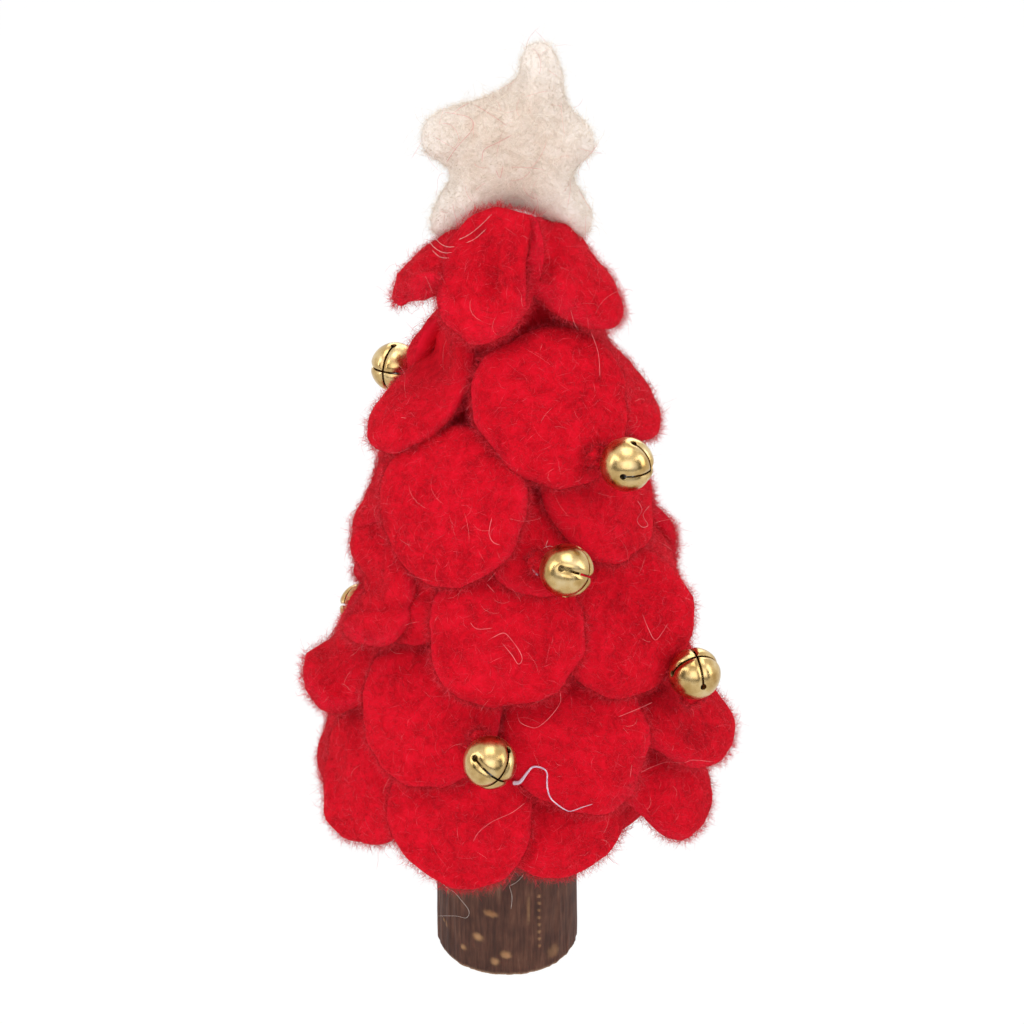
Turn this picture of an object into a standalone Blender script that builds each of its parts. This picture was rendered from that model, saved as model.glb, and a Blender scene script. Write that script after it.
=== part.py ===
"""A felt christmas tree: wool felt petals shingled on a cone, on a cut branch, with a felted
star and small brass jingle bells. Metres, +Z up, the origin at the middle of the trunk's foot.

The front of the tree faces -Y. An azimuth is 0 at the front and grows towards +X."""

import math
import random

import bmesh
import bpy
import numpy as np
from mathutils import Matrix, Vector

# Clearances between pieces that touch
SEAT_GAP = 0.0003
DRAPE_GAP = 0.00045

# Trunk, a cut branch with its bark on
TRUNK_RADIUS = 0.01425
TRUNK_LENGTH = 0.044
BARK_RELIEF = 0.00035
TRUNK_RIM = 0.0006
BARK_SIDES = 28
BARK_LEVELS = 4
# Ridges round the branch in two overlaid waves
BARK_RIDGES = (5, 9)

# Core cone, glued over the top of the trunk
SOCKET_DEPTH = 0.006
CORE_HEIGHT = 0.112
CORE_FOOT_RADIUS = 0.031
CORE_TIP_RADIUS = 0.004
CORE_FOOT_ROUND = 0.0015
CORE_TIP_ROUND = 0.0012
CORE_SIDES = 24

# Felt petals
PETAL_DIAMETER = 0.0285
TIP_PETAL_DIAMETER = 0.0236
PETAL_THICKNESS = 0.0025
PETAL_SIDES = 13
PETAL_RING_SHARES = (0.36, 0.68, 0.87)
PETAL_CURVE_STEPS = 28
PETAL_OUTLINE_SHARE = 0.035
PETAL_DOME_ANGLE = math.radians(16)
FOLD_SPAN_SHARE = 0.22
EASE_SHARE = 0.5
EASE_ROUNDS = 16
PUSH_ROUNDS = 8
SAMPLE_STEPS = 3

# Rows of petals from the tip down: height of the upper edge as a share of the core's height,
# and the lean of the row away from the core in degrees
ROW_TOP_SHARES = (0.985, 0.875, 0.715, 0.525, 0.36, 0.215)
ROW_LEANS = (16, 16, 8, 16, 21, 8)

# Sideways bend of each row's petals, as a share of the radius that they lie at
ROW_BEND_SHARES = (0.8, 1.0, 1.05, 1.12, 1.12, 1.12)

# One tuple for a petal, in the order of laying: azimuth, slide down as a share of the
# diameter, added lean, fold outwards in degrees, and where the fold starts as a share of
# the diameter. What is laid first lies under its neighbours.
ROW_PETALS = (
    ((172, 0.02, 0, 0, 0.5), (-84, -0.01, 16, 0, 0.5), (64, -0.01, 24, 0, 0.5), (-20, -0.22, -2, 0, 0.5)),
    ((84, 0.1, 12, 0, 0.5), (-150, 0.0, 0, 0, 0.5), (160, 0.0, 2, 0, 0.5), (-70, 0.08, 7, 0, 0.5),
     (26, 0.08, -4, 0, 0.5)),
    ((15, 0.1, 0, 0, 0.5), (-88, 0.08, 8, 0, 0.5), (104, -0.02, 0, 0, 0.5), (-146, 0.0, 0, 0, 0.5),
     (160, 0.0, 0, 0, 0.5), (52, 0.02, -2, 0, 0.5), (-24, 0.05, -2, 0, 0.5)),
    ((-40, -0.22, 0, 0, 0.5), (-60, 0.0, -10, 72, 0.62), (84, 0.06, 14, 0, 0.5), (172, 0.0, 0, 0, 0.5),
     (-128, 0.0, 0, 0, 0.5), (128, 0.0, 0, 0, 0.5), (46, 0.14, 0, 0, 0.5), (-1, 0.08, 0, 0, 0.5)),
    ((-77, 0.03, 0, 58, 0.56), (66, 0.3, 14, 0, 0.5), (-172, 0.0, 0, 0, 0.5), (116, 0.0, 0, 0, 0.5),
     (-128, 0.0, 0, 0, 0.5), (156, 0.0, 0, 0, 0.5), (-28, 0.02, 0, 0, 0.5), (24, 0.16, -2, 0, 0.5)),
    ((18, 0.0, 0, 0, 0.5), (98, 0.0, 0, 0, 0.5), (-98, 0.0, 0, 0, 0.5), (178, 0.0, 0, 0, 0.5),
     (-142, 0.0, 2, 0, 0.5), (138, 0.0, 2, 0, 0.5), (58, 0.0, 13, 0, 0.5), (-53, 0.0, 0, 0, 0.5),
     (-14, 0.02, 0, 0, 0.5)),
)

# Star
STAR_THICKNESS = 0.0105
STAR_REACH = 0.0239
STAR_NOTCH = 0.0128
STAR_TIP_WIDTH = 0.0062
STAR_BACKSET = 0.003
STAR_SIDESET = 0.0013
STAR_LIFT = 0.0023
# Angle in degrees from straight up, clockwise from the front, and reach as a share, for the
# five points and for the notch that follows each
STAR_POINT_SHARES = ((15, 0.95), (83, 0.69), (141, 1.0), (222, 1.05), (284, 0.8))
STAR_NOTCH_SHARES = ((47, 0.97), (109, 0.95), (178, 0.6), (253, 0.96), (353, 0.8))
STAR_FACE_SHARE = 0.55
STAR_BELLY_SHARE = 0.95

# Dab of glue under the star
GLUE_RADIUS = 0.0042
GLUE_SIDES = 10
# Outline from the foot up: shares of the radius and of the height
GLUE_OUTLINE_SHARES = ((0.55, 0.0), (0.8, 0.35), (0.55, 0.8))

# Jingle bells
BELL_RADIUS = 0.00475
BELL_WALL = 0.00035
BELL_SIDES = 12
BELL_RINGS = 8
LEAF_ROLL = 0.00018
SLOT_WIDTH = 0.0007
SLOT_END_ANGLE = math.radians(76)
SLOT_HOLE_RADIUS = 0.0007
SLOT_HOLE_SIDES = 6
EYE_RADIUS = 0.0012
EYE_WIRE_RADIUS = 0.00035
EYE_SINK = 0.0003
EYE_SIDES = 8
EYE_WIRE_SIDES = 5
CUT_OVERRUN = 0.001
PELLET_RADIUS = 0.0016
SETTLE_ROUNDS = 6
SETTLE_CELL = 0.00095

# Azimuth, height of the middle as a share of the core's height, the direction that the
# crossed slots face and the direction in which one slot runs
BELL_SHARES = (
    ("bell_1", -128, 0.715, (-0.49, -0.865, 0.09), (0.2, 0.3, 0.95)),
    ("bell_2", 39.5, 0.688, (0.905, -0.416, -0.068), (0.02, -0.12, 0.98)),
    ("bell_3", 18, 0.535, (0.85, -0.52, -0.015), (-0.27, -0.83, 0.48)),
    ("bell_4", -136, 0.198, (-0.8, -0.5, 0.3), (0.0, 0.4, 0.9)),
    ("bell_5", 54, 0.32, (0.04, -0.347, 0.935), (0.28, -0.9, -0.3)),
    ("bell_6", -4, 0.24, (0.33, -0.909, -0.25), (-0.6, -0.55, 0.57)),
    ("bell_7", 176, 0.46, (0.1, 0.97, -0.2), (0.6, 0.1, 0.8)),
)

CORE_FOOT_Z = TRUNK_LENGTH - SOCKET_DEPTH
CORE_TIP_Z = CORE_FOOT_Z + CORE_HEIGHT
CONE_ANGLE = math.atan2(CORE_FOOT_RADIUS - CORE_TIP_RADIUS, CORE_HEIGHT)
CONE_SIN = math.sin(CONE_ANGLE)
CONE_COS = math.cos(CONE_ANGLE)
CORE_SLANT = CORE_HEIGHT / CONE_COS


def clear_scene():
    for old in list(bpy.data.objects):
        bpy.data.objects.remove(old, do_unlink=True)


def material(name, colour, roughness, metallic=0.0):
    made = bpy.data.materials.new(name)
    made.use_nodes = True
    shader = made.node_tree.nodes["Principled BSDF"]
    shader.inputs["Base Color"].default_value = (*colour, 1.0)
    shader.inputs["Roughness"].default_value = roughness
    shader.inputs["Metallic"].default_value = metallic
    made.diffuse_color = (*colour, 1.0)
    return made


def add_object(name, mesh, finish, parent=None, place=None):
    made = bpy.data.objects.new(name, mesh)
    bpy.context.scene.collection.objects.link(made)
    mesh.materials.clear()
    mesh.materials.append(finish)
    if parent:
        made.parent = parent
    if place is not None:
        made.location = place
    return made


def mesh_from(bm, name):
    bmesh.ops.recalc_face_normals(bm, faces=bm.faces[:])
    mesh = bpy.data.meshes.new(name)
    bm.to_mesh(mesh)
    bm.free()
    mesh.shade_smooth()
    return mesh


def turned(profile, sides, name):
    """Turns a profile of (radius, height) points about Z; it starts and ends on the axis."""
    bm = bmesh.new()
    path = [bm.verts.new((radius, 0, height)) for radius, height in profile]
    edges = [bm.edges.new(pair) for pair in zip(path, path[1:])]
    bmesh.ops.spin(bm, geom=path + edges, cent=(0, 0, 0), axis=(0, 0, 1), angle=math.tau,
                   steps=sides, use_merge=True)
    bmesh.ops.remove_doubles(bm, verts=bm.verts[:], dist=SEAT_GAP / sides)
    return mesh_from(bm, name)


def build_trunk(finish):
    """A branch whose bark runs in shallow upright ridges, with both sawn rims eased."""
    bm = bmesh.new()
    levels = [(0, -TRUNK_RIM), (TRUNK_RIM, 0)]
    for step in range(1, BARK_LEVELS):
        levels.append((TRUNK_LENGTH * step / BARK_LEVELS, 0))
    levels += [(TRUNK_LENGTH - TRUNK_RIM, 0), (TRUNK_LENGTH, -TRUNK_RIM)]
    rings = []
    for height, inset in levels:
        ring = []
        twist = height / TRUNK_LENGTH
        for side in range(BARK_SIDES):
            angle = math.tau * side / BARK_SIDES
            wide, narrow = BARK_RIDGES
            ridge = math.sin(wide * angle + twist) + math.sin(narrow * angle - 2 * twist)
            radius = TRUNK_RADIUS + inset + BARK_RELIEF * ridge / 2
            ring.append(bm.verts.new((radius * math.cos(angle), radius * math.sin(angle), height)))
        rings.append(ring)
    for low, high in zip(rings, rings[1:]):
        for side in range(BARK_SIDES):
            nxt = (side + 1) % BARK_SIDES
            bm.faces.new((low[side], low[nxt], high[nxt], high[side]))
    bm.faces.new(rings[0][::-1])
    bm.faces.new(rings[-1])
    add_object("trunk", mesh_from(bm, "trunk"), finish)


def build_core(finish):
    socket = TRUNK_RADIUS + BARK_RELIEF + SEAT_GAP
    socket_top = TRUNK_LENGTH + SEAT_GAP
    profile = [
        (0, socket_top),
        (socket, socket_top),
        (socket, CORE_FOOT_Z),
        (CORE_FOOT_RADIUS - CORE_FOOT_ROUND, CORE_FOOT_Z),
        (CORE_FOOT_RADIUS - CORE_FOOT_ROUND * CONE_SIN, CORE_FOOT_Z + CORE_FOOT_ROUND),
        (CORE_TIP_RADIUS + CORE_TIP_ROUND * CONE_SIN, CORE_TIP_Z - CORE_TIP_ROUND),
        (CORE_TIP_RADIUS - CORE_TIP_ROUND, CORE_TIP_Z),
        (0, CORE_TIP_Z),
    ]
    add_object("core", turned(profile, CORE_SIDES, "core"), finish)


def cone_to_world(azimuth, slant, lift):
    """Azimuth, distance down the cone's slope and height off it, as arrays, to points."""
    radius = CORE_TIP_RADIUS + slant * CONE_SIN + lift * CONE_COS
    height = CORE_TIP_Z - slant * CONE_COS + lift * CONE_SIN
    return np.stack((radius * np.sin(azimuth), -radius * np.cos(azimuth), height), axis=-1)


def world_to_cone(points):
    radius = np.hypot(points[:, 0], points[:, 1])
    azimuth = np.arctan2(points[:, 0], -points[:, 1])
    out = radius - CORE_TIP_RADIUS
    up = points[:, 2] - CORE_TIP_Z
    return azimuth, out * CONE_SIN - up * CONE_COS, out * CONE_COS + up * CONE_SIN


def turn_between(azimuth, centre):
    return (azimuth - centre + math.pi) % math.tau - math.pi


def smooth_step(value):
    value = min(max(value, 0.0), 1.0)
    return value * value * (3 - 2 * value)


class Pile:
    """The felt laid so far, as points on its outer faces in the cone's coordinates."""

    def __init__(self):
        self.azimuth = np.zeros(0)
        self.slant = np.zeros(0)
        self.lift = np.zeros(0)

    def add(self, points):
        azimuth, slant, lift = world_to_cone(points)
        self.azimuth = np.append(self.azimuth, azimuth)
        self.slant = np.append(self.slant, slant)
        self.lift = np.append(self.lift, lift)

    def near(self, azimuth, radius, slant_low, slant_high, reach):
        """Points within reach of an azimuth, flattened to width along the cone and slant."""
        width = turn_between(self.azimuth, azimuth) * radius
        kept = (np.abs(width) < reach) & (self.slant > slant_low) & (self.slant < slant_high)
        return width[kept], self.slant[kept], self.lift[kept]


def disc_faces(rings, sides):
    """Triangles of a disc of rings round one middle point, which has number 0."""
    faces = []
    for side in range(sides):
        nxt = (side + 1) % sides
        faces.append((0, 1 + side, 1 + nxt))
        for ring in range(rings - 1):
            inner = 1 + ring * sides
            outer = inner + sides
            faces.append((inner + side, outer + side, outer + nxt))
            faces.append((inner + side, outer + nxt, inner + nxt))
    return np.array(faces)


def disc_neighbours(faces, count):
    linked = [set() for _ in range(count)]
    for face in faces:
        for a, b in ((0, 1), (1, 2), (2, 0)):
            linked[face[a]].add(face[b])
            linked[face[b]].add(face[a])
    return [sorted(others) for others in linked]


def point_normals(points, faces):
    corners = points[faces]
    flat = np.cross(corners[:, 1] - corners[:, 0], corners[:, 2] - corners[:, 0])
    normals = np.zeros_like(points)
    for corner in range(3):
        np.add.at(normals, faces[:, corner], flat)
    return normals / np.linalg.norm(normals, axis=1, keepdims=True)


def loose_disc(azimuth, top, diameter, bend_share, lean, fold, fold_at, rng):
    """The under face of one petal before it meets the felt below it, as points."""
    radius = diameter / 2
    stride = diameter / PETAL_CURVE_STEPS
    along = [(0.0, 0.0)]
    for step in range(PETAL_CURVE_STEPS):
        share = (step + 0.5) / PETAL_CURVE_STEPS
        angle = lean + PETAL_DOME_ANGLE * (0.5 - share)
        angle += fold * smooth_step((share - fold_at) / FOLD_SPAN_SHARE)
        slant, lift = along[-1]
        along.append((slant + math.cos(angle) * stride, lift + math.sin(angle) * stride))
    along = np.array(along)
    marks = np.linspace(0, diameter, PETAL_CURVE_STEPS + 1)
    mid_slant = top + np.interp(radius, marks, along[:, 0])
    mid_lift = np.interp(radius, marks, along[:, 1])
    curve = bend_share * (CORE_TIP_RADIUS + mid_slant * CONE_SIN + mid_lift + PETAL_THICKNESS)
    wave_two = rng.uniform(0, math.tau)
    wave_three = rng.uniform(0, math.tau)
    radial = np.array((math.sin(azimuth), -math.cos(azimuth), 0))
    across = np.array((math.cos(azimuth), math.sin(azimuth), 0))
    spots = [(0.0, radius)]
    for ring in PETAL_RING_SHARES + (1.0,):
        for side in range(PETAL_SIDES):
            angle = math.tau * side / PETAL_SIDES
            uneven = math.sin(2 * angle + wave_two) + math.sin(3 * angle + wave_three) - 1
            reach = ring * radius * (1 + PETAL_OUTLINE_SHARE * uneven / 2)
            spots.append((reach * math.sin(angle), radius + reach * math.cos(angle)))
    points = []
    for width, down in spots:
        slant = top + np.interp(down, marks, along[:, 0])
        lift = np.interp(down, marks, along[:, 1])
        base = cone_to_world(azimuth, slant, lift)
        bend = width / curve
        points.append(base + across * curve * math.sin(bend) - radial * curve * (1 - math.cos(bend)))
    return np.array(points)


def push_off(lift, width, slant, faces, below):
    """Raises a petal's points until every face clears the felt points below it."""
    low_width, low_slant, low_lift = below
    raised = np.zeros_like(lift)
    for face in faces:
        a, b, c = face
        abw, abs_ = width[b] - width[a], slant[b] - slant[a]
        acw, acs = width[c] - width[a], slant[c] - slant[a]
        area = abw * acs - acw * abs_
        if abs(area) < SEAT_GAP * SEAT_GAP:
            continue
        apw, aps = low_width - width[a], low_slant - slant[a]
        share_b = (apw * acs - acw * aps) / area
        share_c = (abw * aps - apw * abs_) / area
        share_a = 1 - share_b - share_c
        under = (share_a >= 0) & (share_b >= 0) & (share_c >= 0)
        if not under.any():
            continue
        shares = np.stack((share_a[under], share_b[under], share_c[under]))
        short = low_lift[under] + DRAPE_GAP - (shares * lift[list(face)][:, None]).sum(axis=0)
        worst = int(np.argmax(short))
        if short[worst] > 0:
            weights = shares[:, worst]
            rise = short[worst] * weights / (weights * weights).sum()
            for corner, amount in zip(face, rise):
                raised[corner] = max(raised[corner], amount)
    return raised


def lay_petal(pile, azimuth, top, diameter, bend_share, lean, fold, fold_at, rng):
    """Lays one petal over the core and the felt below it and adds it to the pile."""
    loose = loose_disc(azimuth, top, diameter, bend_share, lean, fold, fold_at, rng)
    rings = len(PETAL_RING_SHARES) + 1
    faces = disc_faces(rings, PETAL_SIDES)
    linked = disc_neighbours(faces, len(loose))
    turn, slant, lift = world_to_cone(loose)
    turn = turn_between(turn, azimuth)
    radius = CORE_TIP_RADIUS + (top + diameter / 2) * CONE_SIN + PETAL_THICKNESS
    span = turn * (CORE_TIP_RADIUS + slant * CONE_SIN + lift * CONE_COS)
    free = lift.copy()
    lift = np.maximum(lift, SEAT_GAP)
    below = pile.near(azimuth, radius, slant.min() - PETAL_THICKNESS, slant.max() + PETAL_THICKNESS,
                      math.pi * radius)
    for step in range(EASE_ROUNDS + PUSH_ROUNDS):
        turn = span / (CORE_TIP_RADIUS + slant * CONE_SIN + lift * CONE_COS)
        rise = lift - free
        if step < EASE_ROUNDS:
            mean = np.array([np.mean(rise[others]) for others in linked])
            lift = np.maximum(free + rise + EASE_SHARE * (mean - rise), SEAT_GAP)
        lift = lift + push_off(lift, turn * radius, slant, faces, below)
    turn = azimuth + turn
    under = cone_to_world(turn, slant, lift)
    normals = point_normals(under, faces)
    rim = len(under) - PETAL_SIDES
    over = under + normals * PETAL_THICKNESS
    edge = under[rim:] + normals[rim:] * PETAL_THICKNESS / 2
    outer = np.concatenate((over[:rim], edge))
    samples = []
    for face in faces:
        a, b, c = outer[face]
        for i in range(SAMPLE_STEPS + 1):
            for j in range(SAMPLE_STEPS + 1 - i):
                share_b, share_c = i / SAMPLE_STEPS, j / SAMPLE_STEPS
                samples.append(a * (1 - share_b - share_c) + b * share_b + c * share_c)
    pile.add(np.array(samples))
    return under[:rim], over[:rim], edge, faces


def build_petal(name, finish, parts):
    """Under and over faces that share the rim at half the felt's thickness."""
    under, over, edge, faces = parts
    bm = bmesh.new()
    low = [bm.verts.new(point) for point in under]
    high = [bm.verts.new(point) for point in over]
    rim = [bm.verts.new(point) for point in edge]
    for face in faces:
        bm.faces.new([(low + rim)[number] for number in reversed(face)])
        bm.faces.new([(high + rim)[number] for number in face])
    mesh = bpy.data.meshes.new(name)
    bm.to_mesh(mesh)
    bm.free()
    mesh.shade_smooth()
    add_object(name, mesh, finish)


def build_petals(finish):
    rng = random.Random(5)
    pile = Pile()
    for row in range(len(ROW_PETALS), 0, -1):
        diameter = TIP_PETAL_DIAMETER if row == 1 else PETAL_DIAMETER
        row_top = CORE_SLANT * (1 - ROW_TOP_SHARES[row - 1])
        for number, petal in enumerate(ROW_PETALS[row - 1], start=1):
            azimuth, slide, lean, fold, fold_at = petal
            parts = lay_petal(pile, math.radians(azimuth), row_top + slide * diameter, diameter,
                              ROW_BEND_SHARES[row - 1], math.radians(ROW_LEANS[row - 1] + lean),
                              math.radians(fold), fold_at, rng)
            build_petal(f"petal_row{row}_{number}", finish, parts)
    return pile


def build_star(finish):
    """A puffy star, its middle plane upright: outline at mid thickness, swelling to both faces.
    It stands on the glue by its lower notch."""
    bm = bmesh.new()
    outline = []
    for point, notch in zip(STAR_POINT_SHARES, STAR_NOTCH_SHARES):
        turn = math.radians(point[0])
        tip = Vector((math.sin(turn), math.cos(turn))) * STAR_REACH * point[1]
        side = Vector((math.cos(turn), -math.sin(turn))) * STAR_TIP_WIDTH / 2
        turn = math.radians(notch[0])
        outline += [tip - side, tip + side]
        outline.append(Vector((math.sin(turn), math.cos(turn))) * STAR_NOTCH * notch[1])

    def ring(share, depth):
        return [bm.verts.new((spot.x * share, depth, spot.y * share)) for spot in outline]

    half = STAR_THICKNESS / 2
    edge = ring(1.0, 0)
    for side in (-1, 1):
        face_ring = ring(STAR_FACE_SHARE, side * half)
        centre = bm.verts.new((0, side * half * STAR_BELLY_SHARE, 0))
        for spot in range(len(edge)):
            nxt = (spot + 1) % len(edge)
            bm.faces.new((edge[spot], edge[nxt], face_ring[nxt], face_ring[spot]))
            bm.faces.new((face_ring[spot], face_ring[nxt], centre))
    star = add_object("star", mesh_from(bm, "star"), finish)
    rounding = star.modifiers.new("rounding", 'SUBSURF')
    rounding.levels = 2
    rounding.render_levels = 2
    bpy.context.view_layer.update()
    rounded = star.evaluated_get(bpy.context.evaluated_depsgraph_get()).data
    over_glue = [vert.co.z for vert in rounded.vertices
                 if vert.co.z < 0
                 and math.hypot(vert.co.x + STAR_SIDESET, vert.co.y + STAR_BACKSET) < GLUE_RADIUS]
    seat = CORE_TIP_Z + SEAT_GAP + STAR_LIFT + SEAT_GAP
    star.location = (STAR_SIDESET, STAR_BACKSET, seat - min(over_glue))


def build_star_glue(finish):
    foot = CORE_TIP_Z + SEAT_GAP
    profile = [(0, foot)]
    profile += [(GLUE_RADIUS * out, foot + STAR_LIFT * up) for out, up in GLUE_OUTLINE_SHARES]
    profile.append((0, foot + STAR_LIFT))
    add_object("star_glue", turned(profile, GLUE_SIDES, "star_glue"), finish)


def slot_cutter(length, width, low, high):
    bm = bmesh.new()
    bmesh.ops.create_cube(bm, size=1, matrix=Matrix.Translation((0, 0, (low + high) / 2))
                          @ Matrix.Diagonal((length, width, high - low, 1)))
    return mesh_from(bm, "slot_cutter")


def hole_cutter(turn):
    """A bore through the wall at the outer end of one slot."""
    bm = bmesh.new()
    bmesh.ops.create_cone(bm, cap_ends=True, segments=SLOT_HOLE_SIDES, radius1=SLOT_HOLE_RADIUS,
                          radius2=SLOT_HOLE_RADIUS, depth=BELL_WALL + 2 * CUT_OVERRUN,
                          matrix=Matrix.Rotation(turn, 4, 'Z')
                          @ Matrix.Rotation(math.pi - SLOT_END_ANGLE, 4, 'Y')
                          @ Matrix.Translation((0, 0, BELL_RADIUS - BELL_WALL / 2)))
    return mesh_from(bm, "hole_cutter")


def bell_ball(radius, flip):
    """One face of the shell: a ball whose four leaves roll in towards the crossed slots."""
    bm = bmesh.new()
    bmesh.ops.create_uvsphere(bm, u_segments=BELL_SIDES, v_segments=BELL_RINGS, radius=radius)
    for vert in bm.verts:
        turn = math.atan2(vert.co.y, vert.co.x)
        towards_pole = max(0.0, -vert.co.z / radius)
        roll = math.cos(2 * turn) ** 4 * math.sin(math.pi * towards_pole) if towards_pole < 1 else 0
        vert.co *= 1 - LEAF_ROLL * roll / radius
    if flip:
        bmesh.ops.reverse_faces(bm, faces=bm.faces[:])
    return bm


def shell_mesh():
    """Folded brass: a hollow ball with a cross of slots at its lower pole and an eye on top."""
    bm = bell_ball(BELL_RADIUS, False)
    inner = bpy.data.meshes.new("inner")
    inside = bell_ball(BELL_RADIUS - BELL_WALL, True)
    inside.to_mesh(inner)
    inside.free()
    bm.from_mesh(inner)
    mesh = bpy.data.meshes.new("shell")
    bm.to_mesh(mesh)
    bm.free()
    body = bpy.data.objects.new("shell_blank", mesh)
    bpy.context.scene.collection.objects.link(body)
    reach = 2 * BELL_RADIUS * math.sin(SLOT_END_ANGLE)
    low = -BELL_RADIUS - CUT_OVERRUN
    high = -BELL_RADIUS * math.cos(SLOT_END_ANGLE)
    tools = [(slot_cutter(reach, SLOT_WIDTH, low, high), 'DIFFERENCE'),
             (slot_cutter(SLOT_WIDTH, reach, low, high), 'DIFFERENCE')]
    tools += [(hole_cutter(math.tau * quarter / 4), 'DIFFERENCE') for quarter in range(4)]
    tools.append((eye_mesh(), 'UNION'))
    helpers = []
    for shape, operation in tools:
        helper = bpy.data.objects.new("helper", shape)
        bpy.context.scene.collection.objects.link(helper)
        helpers.append(helper)
        cut = body.modifiers.new("cut", 'BOOLEAN')
        cut.operation = operation
        cut.solver = 'EXACT'
        cut.object = helper
    bpy.context.view_layer.update()
    graph = bpy.context.evaluated_depsgraph_get()
    made = bpy.data.meshes.new_from_object(body.evaluated_get(graph))
    for used in [body] + helpers:
        bpy.data.objects.remove(used, do_unlink=True)
    made.name = "bell_shell"
    made.shade_smooth()
    return made


def eye_mesh():
    """The ring of the eye, sunk a little into the top of the ball."""
    bm = bmesh.new()
    ring = bmesh.ops.create_circle(bm, segments=EYE_WIRE_SIDES, radius=EYE_WIRE_RADIUS,
                                   matrix=Matrix.Translation((EYE_RADIUS, 0, 0)))["verts"]
    edges = list({edge for vert in ring for edge in vert.link_edges})
    bmesh.ops.rotate(bm, verts=ring, cent=(EYE_RADIUS, 0, 0), matrix=Matrix.Rotation(math.pi / 2, 3, 'X'))
    bmesh.ops.spin(bm, geom=ring + edges, cent=(0, 0, 0), axis=(0, 0, 1), angle=math.tau,
                   steps=EYE_SIDES, use_merge=True)
    bmesh.ops.remove_doubles(bm, verts=bm.verts[:], dist=SEAT_GAP / BELL_SIDES)
    centre = BELL_RADIUS + EYE_RADIUS + EYE_WIRE_RADIUS - EYE_SINK
    bmesh.ops.transform(bm, verts=bm.verts[:], matrix=Matrix.Translation((0, 0, centre))
                        @ Matrix.Rotation(math.pi / 2, 4, 'X'))
    return mesh_from(bm, "eye")


def bell_turn(faces, slot):
    """Rotation that sends the pole of the slots along `faces` and one slot towards `slot`."""
    down = -Vector(faces).normalized()
    along = Vector(slot)
    along = (along - down * along.dot(down)).normalized()
    return Matrix((along, down.cross(along), down)).transposed()


def settle(pile, points, azimuth, slant):
    """How far off the cone a piece stands so that its points clear the felt below it."""
    radius = CORE_TIP_RADIUS + slant * CONE_SIN + 2 * PETAL_THICKNESS + BELL_RADIUS
    turn, depth, lift = world_to_cone(points)
    width = turn_between(turn, azimuth) * radius
    reach = np.abs(width).max() + BELL_RADIUS
    low_width, low_slant, low_lift = pile.near(azimuth, radius, depth.min() - BELL_RADIUS,
                                               depth.max() + BELL_RADIUS, reach)
    need = -math.inf
    for w, s, n in zip(width, depth, lift):
        close = (np.abs(low_width - w) < SETTLE_CELL) & (np.abs(low_slant - s) < SETTLE_CELL)
        if close.any():
            need = max(need, low_lift[close].max() - n)
    return max(need, -lift.min()) + DRAPE_GAP


def build_bells(pile, brass, steel):
    shell = shell_mesh()
    corners = np.empty(len(shell.vertices) * 3)
    shell.vertices.foreach_get("co", corners)
    corners = corners.reshape(-1, 3)
    pellet_drop = BELL_RADIUS - BELL_WALL - LEAF_ROLL - PELLET_RADIUS - SEAT_GAP
    for name, azimuth, height_share, faces, slot in BELL_SHARES:
        azimuth = math.radians(azimuth)
        turn = bell_turn(faces, slot)
        height = CORE_FOOT_Z + height_share * CORE_HEIGHT
        core_radius = CORE_TIP_RADIUS + (CORE_TIP_Z - height) * CONE_SIN / CONE_COS
        radial = np.array((math.sin(azimuth), -math.cos(azimuth), 0))
        turned_corners = corners @ np.array(turn.transposed())
        stand = 0
        for _ in range(SETTLE_ROUNDS):
            centre = radial * (core_radius + stand) + np.array((0, 0, height))
            slant = (CORE_TIP_Z - height) / CONE_COS
            rise = settle(pile, turned_corners + centre, azimuth, slant)
            stand += rise / CONE_COS
        made = add_object(f"{name}_shell", shell.copy(), brass, place=Vector(centre))
        made.rotation_euler = turn.to_euler()
        guide = bpy.data.objects.new(f"{name}_slide", None)
        bpy.context.scene.collection.objects.link(guide)
        guide.location = Vector(centre)
        bm = bmesh.new()
        bmesh.ops.create_icosphere(bm, subdivisions=2, radius=PELLET_RADIUS)
        add_object(f"{name}_pellet", mesh_from(bm, f"{name}_pellet"), steel, parent=guide,
                   place=Vector((0, 0, -pellet_drop)))


def main():
    clear_scene()
    red_felt = material("red_felt", (0.6, 0.008, 0.02), 0.95)
    cream_felt = material("cream_felt", (0.75, 0.68, 0.6), 0.95)
    bark = material("bark", (0.09, 0.055, 0.042), 0.85)
    wrap = material("core_wrap", (0.35, 0.006, 0.012), 0.95)
    hot_glue = material("hot_glue", (0.8, 0.75, 0.85), 0.3)
    brass = material("brass", (0.72, 0.55, 0.22), 0.25, 1.0)
    steel = material("steel", (0.6, 0.6, 0.6), 0.3, 1.0)
    build_trunk(bark)
    build_core(wrap)
    pile = build_petals(red_felt)
    build_bells(pile, brass, steel)
    build_star_glue(hot_glue)
    build_star(cream_felt)


main()
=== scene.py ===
import math
import random

import bmesh
import bpy
import numpy as np
from mathutils import Matrix, Vector, noise
from mathutils.bvhtree import BVHTree


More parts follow.
